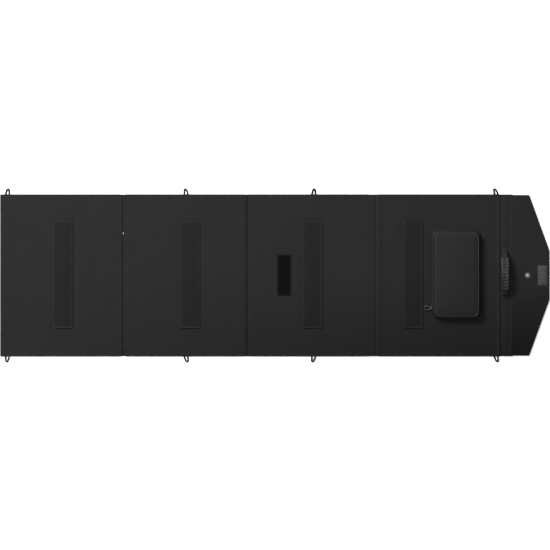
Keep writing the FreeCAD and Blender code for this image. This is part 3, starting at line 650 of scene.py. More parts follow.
def fold_strip(node, left_body, body, right_body, left, right, profile, finish=None):
    """Both halves of a strip, each shaped about the hinge between body and the body left or right of it."""
    low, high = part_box(node)
    middle = (low.x + high.x) / 2
    for name, near, start in (("left", left_body, left), ("right", right_body, right)):
        half = fold_piece(f"{node}_{name}", near, body, start, middle, low.z, profile, high.y + 1.6 * MM,
                         finish or cloth_finish)
        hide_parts(node)


for left_number, right_number in ((1, 2), (2, 3), (3, 4)):
    node = f"web_{left_number}{right_number}"
    left_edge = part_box(f"back_cover_{left_number}")[1]
    right_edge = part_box(f"back_cover_{right_number}")[0]
    gap_left, gap_right, top = left_edge.x, right_edge.x, left_edge.z
    low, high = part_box(node)
    middle = (gap_left + gap_right) / 2
    if node == "web_12":
        profile = [(gap_left - WEB_TUCK, top + LAP), (gap_left + 6 * MM, top + 0.1 * MM),
                   (gap_left + 9 * MM, high.z - 0.6 * MM), (gap_right - 1 * MM, high.z - 0.3 * MM),
                   (gap_right + WEB_TUCK, top - 1 * MM)]
    elif node == "web_23":
        profile = [(gap_left - WEB_TUCK, top - 1 * MM), (gap_left, high.z), (middle, top + 1.2 * MM),
                   (gap_right, high.z - 0.3 * MM), (gap_right + WEB_TUCK, top - 1 * MM)]
    else:
        profile = [(gap_left - WEB_TUCK, top + LAP), (gap_right - 7 * MM, top + 0.1 * MM),
                   (gap_right - 5 * MM, high.z), (gap_right - 3 * MM, high.z + 0.4 * MM),
                   (gap_right, top), (gap_right + WEB_TUCK, top - 1 * MM)]
    if node == "web_23":
        crease = fold_piece("web_23_crease", "panel_3", "panel_2", gap_right + WEB_TUCK,
                            gap_left - WEB_TUCK, low.z, profile, high.y + 1.6 * MM, cloth_finish,
                            (gap_right - gap_left) / 2)
        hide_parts(node)
    else:
        fold_strip(node, f"panel_{left_number}", node, f"panel_{right_number}",
                   gap_left - WEB_TUCK, gap_right + WEB_TUCK, profile)
copper_finish = brushed_metal("tinned_copper_ribbon", (0.42, 0.22, 0.12, 1), (0.62, 0.36, 0.22, 1))
for node in ("link_ribbon_12", "link_ribbon_23", "link_ribbon_34"):
    refinish(node, copper_finish)

# ---- panel four's edge ---------------------------------------------------------------------
# A padded roll of cloth sewn along panel 4's left hem, which takes the wide fold's wear.
ROLL_WIDTH = 9 * MM
ROLL_OVERHANG = 1.5 * MM
ROLL_SHORT = 2 * MM
cover_low, cover_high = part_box("back_cover_4")
roll_left, roll_right = cover_low.x - ROLL_OVERHANG, cover_low.x + ROLL_WIDTH
roll_bottom, roll_top = cover_low.y + ROLL_SHORT, cover_high.y - ROLL_SHORT
roll = flat_face([(roll_left, roll_bottom), (roll_right, roll_bottom), (roll_right, roll_top),
                  (roll_left, roll_top)], cover_high.z - 1 * MM)
ringed(roll, [(0, 0.3 * MM)] + rounding(1.3 * MM, 4) + [(1.6 * MM, 0.5 * MM), (1.2 * MM, 0.15 * MM)])
cut_across(roll, 1, steps_between(cover_low.y, cover_high.y, 9 * MM))
for vert in roll.verts:
    if vert.co.z > cover_high.z:
        vert.co.z += noise.noise(Vector((0, vert.co.y * 22, 3))) * 0.35 * MM
roll_piece = new_piece("fold_roll_4", roll, cloth_finish, 70)
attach(roll_piece, "panel_4")

# ---- spine and flap ------------------------------------------------------------------------
# The spine is a doubled strip between panel 4 and the closing flap, sewn with pale thread along
# panel 4's hem. The flap is a cloth pocket over its board, tapered to its free end.
GREY_THREAD_DARK = (0.016, 0.016, 0.018, 1)
GREY_THREAD_LIGHT = (0.032, 0.032, 0.035, 1)
FLAP_TIP = 65 * MM
FLAP_SQUARE = 48.8 * MM
FLAP_ROUND = 2.5 * MM
PALE_SEAM_START = 5 * MM
PALE_SEAM_END = 428 * MM
spine_low, spine_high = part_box("spine")
flap_low, flap_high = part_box("flap_cover")
panel_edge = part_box("back_cover_4")[1]
seam_x = panel_edge.x - 3 * MM
SPINE_LAP = 6.5 * MM
profile = [(panel_edge.x - SPINE_LAP, panel_edge.z - 0.3 * MM),
           (panel_edge.x - 1 * MM, panel_edge.z + LAP),
           (panel_edge.x + 5 * MM, spine_high.z + 0.1 * MM),
           (spine_low.x + 8 * MM, spine_high.z + 0.2 * MM),
           (spine_low.x + 13 * MM, spine_high.z + 1.2 * MM),
           (flap_low.x - 3 * MM, spine_high.z + 0.8 * MM),
           (flap_low.x + 1.5 * MM, flap_high.z + 0.2 * MM),
           (flap_low.x + 5 * MM, flap_high.z - 0.5 * MM)]
fold_strip("spine", "panel_4", "spine", "flap", panel_edge.x - SPINE_LAP, flap_low.x + 5 * MM, profile)
pale_thread = thread_finish("pale_thread", GREY_THREAD_DARK, GREY_THREAD_LIGHT)
seam_z = panel_edge.z + 0.45 * MM
sew("spine_seam", [((seam_x, panel_edge.y - PALE_SEAM_END, seam_z),
                    (seam_x, panel_edge.y - PALE_SEAM_START, seam_z))],
    "panel_4", pale_thread, pitch=6.4 * MM, length=3.4 * MM, thick=0.6 * MM)

flap_corners = [(flap_low.x, flap_low.y), (flap_low.x + FLAP_SQUARE, flap_low.y),
                (flap_high.x, -FLAP_TIP), (flap_high.x, FLAP_TIP),
                (flap_low.x + FLAP_SQUARE, flap_high.y), (flap_low.x, flap_high.y)]
shape = flat_face(flap_corners, flap_low.z, FLAP_ROUND)
ringed(shape, [(0, flap_high.z - flap_low.z - HEM_ROUND)] + rounding(HEM_ROUND))
cut_seams(shape, flap_low, flap_high)
cut_across(shape, 0, steps_between(flap_low.x, flap_high.x, 5 * MM))
cut_across(shape, 1, steps_between(flap_low.y, flap_high.y, 6 * MM))


def flap_lift(x, y):
    """The flap's upper half stands proud of a soft diagonal crease; its lower half falls away."""
    crease = (y + 71 * MM) - (x - flap_low.x) * 0.14
    upper = smooth(-14 * MM, 10 * MM, crease)
    fold = math.exp(-((crease / (9 * MM)) ** 2)) * 0.8 * MM
    return upper * 0.9 * MM + fold - 0.4 * MM + wave(x * 1.2, y * 0.8, 7) * 0.55 * MM


badge_box, label_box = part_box("sun_badge"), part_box("rating_label")
for vert in shape.verts:
    x, y, z = vert.co
    if z > flap_high.z - HEM_ROUND:
        inside = inside_of(flap_corners, x, y)
        free = min(smooth(0, 8 * MM, outside(a, b, x, y)) for a, b in (badge_box, label_box))
        reach = smooth(1 * MM, 25 * MM, inside)
        vert.co.z += free * (flap_lift(x, y) * reach + 0.2 * MM)
        vert.co.z += seam_groove(inside, 0.4 * MM) * (inside > HEM_ROUND)
flap_piece = new_piece("flap_sheet", shape, flap_finish, 60)
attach(flap_piece, "flap")
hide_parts("flap_cover", "flap_lining")
flap_sides = zip(flap_corners, flap_corners[1:] + flap_corners[:1])
flap_area = sum(a[0] * b[1] - b[0] * a[1] for a, b in flap_sides) / 2
seam_face = ringed(flat_face(flap_corners, 0), [(SEAM_INSET, 0)], floor=False)
inner = max(seam_face.faces, key=lambda face: face.calc_area())
flap_seam = [(vert.co.x, vert.co.y) for vert in inner.verts]
seam_face.free()
sew("flap_seams", round_runs(flap_seam, flap_high.z + 0.15 * MM), "flap", black_thread)

# ---- closure patches -----------------------------------------------------------------------
# A soft loop patch on panel 3's back and its stiff hook half under the flap, both sewn round.


def fuzzy(name, dark, light, pile):
    """Looped or hooked pile."""
    finish, place = new_finish(name)
    loops = place.noise(1100, 3)
    tufts = place.noise(260, 2)
    shade = (loops * 0.7 + tufts * 0.3).clamped()
    close_finish(place, shade.between(dark, light), loops * 0.2 + 0.78, (loops + tufts) * pile,
                 Specular_IOR_Level=0.05)
    return finish


loop_finish = fuzzy("loop_pile", (0.0005, 0.0005, 0.0005, 1), (0.002, 0.002, 0.002, 1), 0.5 * MM)
hook_finish = fuzzy("hook_pile", (0.004, 0.004, 0.004, 1), (0.02, 0.02, 0.02, 1), 0.8 * MM)
for node, body, finish, slot, name in (("loop_patch", "panel_3", loop_finish, "soft_loop", "loop_pad"),
                                       ("hook_patch", "flap", hook_finish, "hook_plastic", "hook_pad")):
    low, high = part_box(node)
    thick = high.z - low.z
    shape = flat_face(oblong(low, high), low.z, 2 * MM)
    ringed(shape, [(0, thick * 0.55)] + [(inset, rise * 0.5) for inset, rise in rounding(thick * 0.6)])
    cut_across(shape, 0, steps_between(low.x, high.x, 1.8 * MM))
    cut_across(shape, 1, steps_between(low.y, high.y, 1.8 * MM))
    for vert in shape.verts:
        if vert.co.z > low.z + thick * 0.7:
            vert.co.z += noise.noise(vert.co * 420) * 0.22 * MM
    patch = new_piece(name, shape, finish, 80)
    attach(patch, body)
    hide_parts(node)
low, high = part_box("loop_patch")
sew("loop_pad_seam", round_runs(oblong(low, high, 2 * MM), high.z + 0.1 * MM), "panel_3", black_thread)

# ---- legs ----------------------------------------------------------------------------------
# Kick-out legs: a board bound in cloth with a stitched channel inside its edge. Each hangs from
# a short cloth hinge at its top end and lies flat on the panel until it is swung out.
LEG_CORNER = 4 * MM
HINGE_INSET = 1 * MM
TAB_REACH = 5.5 * MM
TAB_DROP = 7 * MM
LEG_BEAD = 0.7 * MM
leg_finish = woven("leg_cloth", (0.0040, 0.0040, 0.0043, 1), (0.0080, 0.0080, 0.0085, 1),
                   wrinkle=0.35 * MM, Specular_IOR_Level=0.06)
piping_finish = woven("piping_cloth", (0.007, 0.007, 0.0075, 1), (0.013, 0.013, 0.0135, 1),
                      thread=0.8 * MM, wrinkle=0.1 * MM, roughness=0.42, Specular_IOR_Level=0.25)
leg_steps = [(0, 2.0 * MM)] + rounding(1.4 * MM, 3)
for number in PANELS:
    low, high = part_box(f"leg_cover_{number}")
    panel, leg = f"panel_{number}", f"leg_{number}"
    shape = ringed(flat_face(oblong(low, high), low.z, LEG_CORNER), leg_steps)
    cut_seams(shape, low, high)
    cut_across(shape, 0, steps_between(low.x, high.x, 6 * MM))
    cut_across(shape, 1, steps_between(low.y, high.y, 7 * MM))
    for vert in shape.verts:
        x, y, z = vert.co
        if z > high.z - 0.45 * MM:
            inside = min(x - low.x, high.x - x, y - low.y, high.y - y)
            crown = smooth(1.4 * MM, 24 * MM, inside) * 0.6 * MM + seam_groove(inside, 0.5 * MM)
            vert.co.z += crown + wave(x * 1.5, y, number + 20) * 0.25 * MM * smooth(5 * MM, 14 * MM, inside)
    leg_piece = new_piece(f"leg_sheet_{number}", shape, leg_finish, 60)
    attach(leg_piece, leg)
    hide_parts(f"leg_cover_{number}")
    rail = [(*corner, high.z - 0.55 * MM) for corner in oblong(low, high, 1.2 * MM)]
    corners = []
    for index, point in enumerate(rail):
        before, after = Vector(rail[index - 1]), Vector(rail[(index + 1) % 4])
        point = Vector(point)
        corners += [point + (before - point).normalized() * 3 * MM, point,
                    point + (after - point).normalized() * 3 * MM]
    binding = tube(f"leg_piping_{number}", corners, LEG_BEAD, piping_finish, closed=True)
    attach(binding, leg)
    sew(f"leg_seams_{number}", round_runs(oblong(low, high, SEAM_INSET - 0.2 * MM), high.z - 0.35 * MM),
        leg, black_thread)
    hinge = axis_between(panel, leg)
    tab_low = Vector((low.x + HINGE_INSET, hinge.y - TAB_DROP))
    tab_high = Vector((high.x - HINGE_INSET, hinge.y + TAB_REACH))
    tab = flat_face(oblong(tab_low, tab_high), hinge.z - 0.15 * MM, 1 * MM)
    ringed(tab, [(0, 0.45 * MM), (0.4 * MM, 0.2 * MM)])
    cut_across(tab, 1, [hinge.y + step * 0.5 * MM for step in range(-6, 7)])
    cut_across(tab, 0, steps_between(low.x + HINGE_INSET, high.x - HINGE_INSET, 6 * MM))
    tab_piece = new_piece(f"leg_hinge_{number}", tab, leg_finish, 60)
    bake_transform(tab_piece)
    sew(f"leg_hinge_seam_{number}",
        [((low.x + HINGE_INSET + 1 * MM, hinge.y + TAB_REACH - 1.5 * MM, hinge.z + 0.5 * MM),
          (high.x - HINGE_INSET - 1 * MM, hinge.y + TAB_REACH - 1.5 * MM, hinge.z + 0.5 * MM))],
        panel, black_thread, pitch=4 * MM, length=3 * MM)

# ---- handle --------------------------------------------------------------------------------
# A strap of flat webbing runs over the spine through a moulded rubber grip. Its two ends are
# folded and box-stitched to the spine; the grip has finger recesses pressed into its back.
GRIP_CORNER = 4.5 * MM
GRIP_ROUND = 3.6 * MM
SCALLOP = 0.9 * MM
RECESS_PITCH = 8.2 * MM
RECESS_FIRST = 7 * MM
RECESS_COUNT = 10
RECESS_HALF_WIDTH = 6.2 * MM
RECESS_HALF_LENGTH = 1.75 * MM
RECESS_DEPTH = 1.1 * MM
RECESS_BOW = 1.6 * MM
BUTTON = 4
WEBBING_THICK = 1.6 * MM

grip_low, grip_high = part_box("handle_grip")
anchor_low, anchor_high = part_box("handle_anchors")
strap_low, strap_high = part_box("handle_webbing")
grip_middle = (grip_low + grip_high) / 2
grip_thick = 8 * MM
strap_top = grip_high.z - grip_thick / 2
half_span = (grip_high.y - grip_low.y) / 2
end_drop = strap_top - (grip_low.z + grip_thick / 2 * 0.9)
ARCH_RADIUS = (half_span ** 2 + end_drop ** 2) / (2 * end_drop)
arch_centre = Vector((grip_middle.x, grip_middle.y, strap_top - ARCH_RADIUS))


def on_arch(x, along, lift):
    """A point of the bent grip: along is the distance on its midline from the middle."""
    turn = along / ARCH_RADIUS
    reach = ARCH_RADIUS + lift
    return Vector((x, arch_centre.y + reach * math.sin(turn), arch_centre.z + reach * math.cos(turn)))


def rubber(name, dark, light):
    """Moulded rubber: fine leather-like grain, rubbed a little lighter on the high places."""
    finish, place = new_finish(name)
    grain = place.noise(900, 4)
    rub = place.noise(60, 2)
    close_finish(place, (rub * 0.7 + grain * 0.3).between(dark, light), grain * 0.15 + 0.38,
                 grain * (0.12 * MM), Specular_IOR_Level=0.3)
    return finish


half_length = ARCH_RADIUS * math.asin(half_span / ARCH_RADIUS)
half_width = (grip_high.x - grip_low.x) / 2
bar = flat_face([(-half_width, -half_length), (half_width, -half_length), (half_width, half_length),
                 (-half_width, half_length)], -grip_thick / 2, GRIP_CORNER, 6)
ringed(bar, [(0, 0.01 * MM)] + [(0, grip_thick - 0.01 * MM)])
cut_across(bar, 0, steps_between(-half_width, half_width, 1.0 * MM))
cut_across(bar, 1, steps_between(-half_length, half_length, 0.85 * MM))
cut_across(bar, 2, steps_between(-grip_thick / 2 + 0.02 * MM, grip_thick / 2, 1.6 * MM))
recesses = [half_length - RECESS_FIRST - step * RECESS_PITCH for step in range(RECESS_COUNT)]
for vert in bar.verts:
    x, along, lift = vert.co
    inside = min(half_width - abs(x), half_length - abs(along))
    fall = GRIP_ROUND - math.sqrt(max(0.0, GRIP_ROUND ** 2 - max(0.0, GRIP_ROUND - inside) ** 2))
    lift -= math.copysign(min(fall, grip_thick / 2 - 0.3 * MM), lift) * min(1, abs(lift) * 2 / grip_thick)
    if vert.co.z > grip_thick / 2 - 0.1 * MM:
        for index, centre in enumerate(recesses):
            if index == BUTTON:
                ring = math.hypot(x, along - centre)
                trench = smooth(1.2 * MM, 2.0 * MM, ring) - smooth(2.8 * MM, 3.6 * MM, ring)
                lift -= RECESS_DEPTH * 0.7 * trench
                continue
            bow = RECESS_BOW * (1 if index < BUTTON else -1)
            bowed = centre + bow * (0.5 - (x / RECESS_HALF_WIDTH) ** 2)
            across_share = 1 - smooth(RECESS_HALF_WIDTH - 1.2 * MM, RECESS_HALF_WIDTH + 0.6 * MM, abs(x))
            along_share = 1 - smooth(RECESS_HALF_LENGTH - 0.8 * MM, RECESS_HALF_LENGTH + 0.8 * MM,
                                     abs(along - bowed))
            lift -= RECESS_DEPTH * across_share * along_share
    scallop = SCALLOP * (0.5 + 0.5 * math.cos(2 * math.pi * (along - recesses[0]) / RECESS_PITCH))
    x *= 1 - scallop * smooth(0.4, 1, abs(x) / half_width) / half_width
    vert.co = on_arch(grip_middle.x + x, along, lift)
grip_finish = rubber("grip_rubber", (0.0028, 0.0028, 0.0034, 1), (0.0065, 0.0065, 0.0075, 1))
grip = new_piece("handle_grip_bar", bar, grip_finish, 50)
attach(grip, "handle")
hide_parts("handle_grip")

webbing_finish = woven("flat_webbing", (0.004, 0.004, 0.0045, 1), (0.009, 0.009, 0.0095, 1),
                       thread=1.6 * MM, wrinkle=0.1 * MM, roughness=0.55, Specular_IOR_Level=0.15)
strap_half = (strap_high.x - strap_low.x) / 2


def ribbon(name, route, half_breadth, thick, finish):
    """Flat webbing laid along a route of (y, z) points, its breadth along X."""
    shape = bmesh.new()
    first = [shape.verts.new((grip_middle.x + side * half_breadth * step / 3, *route[0]))
             for side, step in ((-1, 3), (-1, 1), (1, 1), (1, 3))]
    edges = [shape.edges.new(pair) for pair in zip(first, first[1:])]
    for before, after in zip(route, route[1:]):
        made = bmesh.ops.extrude_edge_only(shape, edges=edges)["geom"]
        edges = [item for item in made if isinstance(item, bmesh.types.BMEdge)]
        move = Vector((0, after[0] - before[0], after[1] - before[1]))
        bmesh.ops.translate(shape, vec=move, verts=list({vert for edge in edges for vert in edge.verts}))
    bmesh.ops.recalc_face_normals(shape, faces=shape.faces[:])
    piece = new_piece(name, shape, finish, 60)
    thicken(piece, "webbing", thick, 0)
    softened = piece.modifiers.new("woven edge", "BEVEL")
    softened.width = thick * 0.3
    softened.segments = 2
    return piece


STRAP_POINTS = 16
FOOT_HALF = 7.5 * MM
for side, word in ((1, "top"), (-1, "bottom")):
    inner_turn = (half_length - 8 * MM) / ARCH_RADIUS
    foot = (anchor_high.y - FOOT_HALF) if side == 1 else (anchor_low.y + FOOT_HALF)
    outer_turn = math.asin(min(1, (abs(foot - arch_centre.y)) / ARCH_RADIUS)) - 0.02
    route = []
    for step in range(STRAP_POINTS):
        turn = inner_turn + (outer_turn - inner_turn) * step / (STRAP_POINTS - 1)
        route.append((arch_centre.y + side * ARCH_RADIUS * math.sin(turn),
                      arch_centre.z + ARCH_RADIUS * math.cos(turn)))
    end_y, end_z = route[-1]
    for step in range(1, 9):
        share = step / 8
        route.append((end_y + side * 3.2 * MM * math.sin(share * math.pi / 2),
                      end_z + (spine_high.z + 1.2 * MM - end_z) * (1 - math.cos(share * math.pi / 2))
                      * 0.5 + (spine_high.z + 1.2 * MM - end_z) * 0.5 * share))
    tail = ribbon(f"strap_{word}", route, strap_half, WEBBING_THICK, webbing_finish)
    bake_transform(tail)
    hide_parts("handle_webbing")
    low = Vector((anchor_low.x, foot - FOOT_HALF, spine_high.z))
    high = Vector((anchor_high.x, foot + FOOT_HALF, anchor_high.z))
    shape = flat_face(oblong(low, high), low.z)
    ringed(shape, [(0, 0.9 * MM), (0.5 * MM, 0.4 * MM), (1.8 * MM, 0), (1.6 * MM, 0.9 * MM),
                   (1.3 * MM, 1.6 * MM)])
    foot_piece = new_piece(f"strap_anchor_{word}", shape, webbing_finish, 60)
    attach(foot_piece, "spine")
    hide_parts("handle_anchors")
    box_seam = oblong(low, high, 1.4 * MM)
    top = low.z + 1.45 * MM
    sew(f"anchor_seams_{word}", round_runs(box_seam, top)
        + [((*box_seam[0], top), (*box_seam[2], top)), ((*box_seam[1], top), (*box_seam[3], top))],
        "spine", black_thread, pitch=2.6 * MM, length=2 * MM, thick=0.3 * MM)

# ---- pouch ---------------------------------------------------------------------------------
# A moulded foam shell covered in cloth: a walled base sewn to panel 4, and a deep lid that a
# zip closes on three sides and a cloth hinge holds along the fourth. Both rims are piped.
POUCH_CORNER = 17 * MM
LID_TOP_CORNER = 14 * MM
WALL = 2 * MM
RIM_ROUND = 0.6 * MM
PIPE = 1.3 * MM
FOAM = 1.6 * MM
TAPE_THICK = 0.4 * MM
TOOTH_PITCH = 2.2 * MM
TOOTH = Vector((1.3, 1.5, 1.0)) * MM

pouch_finish = woven("pouch_cloth", (0.0042, 0.0042, 0.0045, 1), (0.0086, 0.0086, 0.009, 1),
                     thread=0.7 * MM, wrinkle=0.5 * MM, roughness=0.5, Specular_IOR_Level=0.1)
base_low, base_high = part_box("pouch_base")
lid_low, lid_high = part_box("pouch_lid")
rise = base_high.z - base_low.z
shape = flat_face(oblong(base_low, base_high), base_low.z, POUCH_CORNER, 10)
ringed(shape, [(0, rise - RIM_ROUND)] + rounding(RIM_ROUND, 2)
       + [(WALL - RIM_ROUND, 0), (0.01 * MM, 0.7 * MM - rise)])
base_piece = new_piece("pouch_tray", shape, pouch_finish, 50)
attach(base_piece, "panel_4")
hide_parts("pouch_base")

lid_rise = lid_high.z - lid_low.z
lid_slope = 5.2 * MM
wall_steps = [(lid_slope * 0.12, lid_rise * 0.2), (lid_slope * 0.13, lid_rise * 0.2),
              (lid_slope * 0.2, lid_rise * 0.2), (lid_slope * 0.25, lid_rise * 0.16)]
wall_steps += [(lid_slope * 0.3, lid_rise * 0.06), (1.2 * MM, 0.5 * MM), (1.5 * MM, 0.3 * MM),
               (2.5 * MM, -0.2 * MM), (5 * MM, 0.2 * MM)]
shape = flat_face(oblong(lid_low, lid_high), lid_low.z, POUCH_CORNER, 10)
ringed(shape, wall_steps, floor=False)
cut_across(shape, 0, steps_between(lid_low.x, lid_high.x, 6 * MM))
cut_across(shape, 1, steps_between(lid_low.y, lid_high.y, 6 * MM))
top_line = max(vert.co.z for vert in shape.verts)
for vert in shape.verts:
    x, y, z = vert.co
    inside = min(x - lid_low.x, lid_high.x - x, y - lid_low.y, lid_high.y - y)
    if z > top_line - 0.6 * MM and inside > 8 * MM:
        across_share = (2 * x - lid_low.x - lid_high.x) / (lid_high.x - lid_low.x)
        along_share = (2 * y - lid_low.y - lid_high.y) / (lid_high.y - lid_low.y)
        crown = (1 - across_share ** 2) * (1 - along_share ** 4) * 3.0 * MM
        vert.co.z += crown + wave(x * 1.3, y * 1.2, 31) * 0.6 * MM * smooth(8 * MM, 20 * MM, inside)
    elif z < top_line - 4 * MM:
        dent = noise.noise(Vector((x * 18, y * 18, z * 30))) * 0.5 * MM
        lid_middle = (lid_low + lid_high) / 2
        outward = Vector((x - lid_middle.x, y - lid_middle.y, 0)).normalized()
        vert.co -= outward * max(0, dent)
lid_piece = new_piece("pouch_cover", shape, pouch_finish, 60)
thicken(lid_piece, "foam", FOAM, -1)
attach(lid_piece, "pouch_lid")
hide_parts("pouch_lid")


def rounded_route(low, high, inset, radius, height, arcs=4):
    """Points round a rectangle with round corners, for piping to follow."""
    centres = [(low.x + inset + radius, low.y + inset + radius, 180),
               (high.x - inset - radius, low.y + inset + radius, 270),
               (high.x - inset - radius, high.y - inset - radius, 0),
               (low.x + inset + radius, high.y - inset - radius, 90)]
    points = []
    for x, y, first in centres:
        for step in range(arcs + 1):
            turn = math.radians(first + 90 * step / arcs)
            points.append((x + radius * math.cos(turn), y + radius * math.sin(turn), height))
    return points


for name, inset, radius, height in (
        ("lid_top_piping", lid_slope + 0.4 * MM, LID_TOP_CORNER - 2 * MM, lid_high.z - 3 * MM),
        ("lid_rim_piping", PIPE * 0.4, POUCH_CORNER, lid_low.z + PIPE)):
    pipe = tube(name, rounded_route(lid_low, lid_high, inset, radius, height), PIPE, piping_finish,
                closed=True)
    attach(pipe, "pouch_lid")

chain_low, chain_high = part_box("zip_chain")
chain_middle = (chain_low.z + chain_high.z) / 2
teeth = bmesh.new()
chain_right = chain_high.x
track = rounded_route(base_low, base_high, 1.6 * MM, POUCH_CORNER - 1.6 * MM, chain_middle, 10)
track = [Vector(point) for point in track + track[:1]]
for start, end in zip(track, track[1:]):
    count = max(1, round((end - start).length / TOOTH_PITCH))
    turn = (end - start).to_track_quat("Y", "Z").to_matrix().to_4x4()
    for step in range(count):
        centre = start.lerp(end, (step + 0.5) / count)
        if centre.x < chain_right:
            bmesh.ops.create_cube(teeth, size=1, matrix=Matrix.Translation(centre) @ turn
                                  @ Matrix.Diagonal((TOOTH.x * 1.6, TOOTH.y * 0.75, TOOTH.z, 1)))
nylon_finish = brushed_metal("zip_nylon", (0.012, 0.012, 0.013, 1), (0.035, 0.035, 0.037, 1), roughness=0.4)
teeth_piece = new_piece("zip_teeth", teeth, nylon_finish, 30)
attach(teeth_piece, "panel_4")
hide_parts("zip_chain")
tape = flat_face(oblong(base_low, base_high, 0.4 * MM), chain_low.z + 0.1 * MM, POUCH_CORNER, 10)
ringed(tape, [(2.4 * MM, 0)], floor=False)
inner = max(tape.faces, key=lambda face: face.calc_area())
bmesh.ops.delete(tape, geom=[inner], context="FACES_ONLY")
bmesh.ops.bisect_plane(tape, geom=tape.verts[:] + tape.edges[:] + tape.faces[:], dist=1e-6,
                       plane_co=(chain_right, 0, 0), plane_no=(1, 0, 0), clear_outer=True)
tape_piece = new_piece("zip_tape", tape, webbing_finish, 60)
thicken(tape_piece, "tape", TAPE_THICK, 0)
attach(tape_piece, "panel_4")

hinge = axis_between("panel_4", "pouch_lid")
hinge_route = [(base_high.x - 0.4 * MM, base_low.z + 1 * MM), (base_high.x - 0.4 * MM, base_high.z - 1 * MM),
               (hinge.x + 0.9 * MM, hinge.z - 1 * MM), (hinge.x + 0.9 * MM, hinge.z),
               (hinge.x + 0.8 * MM, hinge.z + 1 * MM), (hinge.x + 0.4 * MM, hinge.z + 4 * MM)]
shape = bmesh.new()
hinge_ends = (base_low.y + POUCH_CORNER, base_high.y - POUCH_CORNER)
edges = [shape.edges.new([shape.verts.new((hinge_route[0][0], y, hinge_route[0][1])) for y in hinge_ends])]
for before, after in zip(hinge_route, hinge_route[1:]):
    made = bmesh.ops.extrude_edge_only(shape, edges=edges)["geom"]
    edges = [item for item in made if isinstance(item, bmesh.types.BMEdge)]
    bmesh.ops.translate(shape, vec=(after[0] - before[0], 0, after[1] - before[1]),
                        verts=list({vert for edge in edges for vert in edge.verts}))
bmesh.ops.recalc_face_normals(shape, faces=shape.faces[:])
lid_hinge = new_piece("lid_hinge_cloth", shape, pouch_finish, 60)
thicken(lid_hinge, "cloth", CLOTH, 0)
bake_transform(lid_hinge)

# ---- zip slider and puller -----------------------------------------------------------------
# A cast slider with a bridge over its back, and a wire-edged loop puller hung from the bridge.
zinc_finish = brushed_metal("blackened_zinc", (0.03, 0.03, 0.032, 1), (0.09, 0.09, 0.095, 1), roughness=0.3)
low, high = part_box("zip_slider")
shape = bmesh.new()
plate = (high.x - low.x) * 0.55
add_block(shape, (high.x - plate, low.y, low.z + 0.4 * MM), (high.x, high.y, high.z - 0.4 * MM), 0.5 * MM)
add_block(shape, (low.x, low.y + 1.2 * MM, chain_middle - 0.9 * MM),
          (high.x - plate * 0.5, low.y + 2.4 * MM, chain_middle + 0.9 * MM), 0.3 * MM)
add_block(shape, (low.x, high.y - 2.4 * MM, chain_middle - 0.9 * MM),
          (high.x - plate * 0.5, high.y - 1.2 * MM, chain_middle + 0.9 * MM), 0.3 * MM)
add_block(shape, (low.x, low.y + 1.2 * MM, chain_middle - 0.9 * MM),
          (low.x + 0.9 * MM, high.y - 1.2 * MM, chain_middle + 0.9 * MM), 0.3 * MM)
slider_piece = new_piece("zip_slider_body", shape, zinc_finish, 40)
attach(slider_piece, "zip_slider")
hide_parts("zip_slider")
low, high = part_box("zip_puller")
bright_finish = brushed_metal("dark_nickel", (0.07, 0.07, 0.072, 1), (0.16, 0.16, 0.165, 1), roughness=0.25)
height = (low.z + high.z) / 2
wire = 0.75 * MM
line = [(high.x - wire, low.y + wire), (low.x + 5 * MM, low.y + wire), (low.x + wire, low.y + 3 * MM),
        (low.x + wire, high.y - 3 * MM), (low.x + 5 * MM, high.y - wire), (high.x - wire, high.y - wire)]
wire_loop = tube("puller_loop", [(x, y, height) for x, y in line], wire, bright_finish,
                 closed=True)
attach(wire_loop, "zip_puller")
shape = flat_face([(low.x + 0.2 * MM, low.y + 2.6 * MM), (low.x + 2.6 * MM, low.y + 2.6 * MM),
                   (low.x + 2.6 * MM, high.y - 2.6 * MM), (low.x + 0.2 * MM, high.y - 2.6 * MM)],
                  height - 0.9 * MM, 0.6 * MM)
ringed(shape, [(0, 1.5 * MM), (0.3 * MM, 0.3 * MM)])
tab_piece = new_piece("puller_tab", shape, grip_finish, 50)
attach(tab_piece, "zip_puller")
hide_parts("zip_puller")

# ---- charge controller ---------------------------------------------------------------------
# A two-part moulded case with a circuit board, two USB sockets and a round DC socket, glued in
# the pouch. Its parts are plain mouldings and pressed shells.
case_finish = rubber("case_plastic", (0.010, 0.010, 0.011, 1), (0.02, 0.02, 0.021, 1))
socket_finish = brushed_metal("pressed_steel", (0.4, 0.4, 0.41, 1), (0.65, 0.65, 0.66, 1))
solder_mask, place = new_finish("green_circuit")
traces = (place.noise(240, 2) * 12 - 6).clamped()
close_finish(place, traces.between((0.004, 0.05, 0.02, 1), (0.012, 0.12, 0.045, 1)), traces * 0.1 + 0.3,
             traces * (0.05 * MM))
for node, finish in (("controller_case", case_finish), ("controller_cover", case_finish),
                     ("controller_board", solder_mask), ("usb_a_socket", socket_finish),
                     ("usb_c_socket", socket_finish), ("dc_socket", case_finish)):
    refinish(node, finish)
low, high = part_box("usb_a_socket")
shape = bmesh.new()
add_block(shape, (low.x + 2.5 * MM, low.y + 2.2 * MM, high.z - 2.9 * MM),
          (high.x - 1 * MM, high.y - 2.2 * MM, high.z - 1.4 * MM), 0.3 * MM)
tongue = new_piece("usb_a_tongue", shape, solder_mask, 40)
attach(tongue, "panel_4")

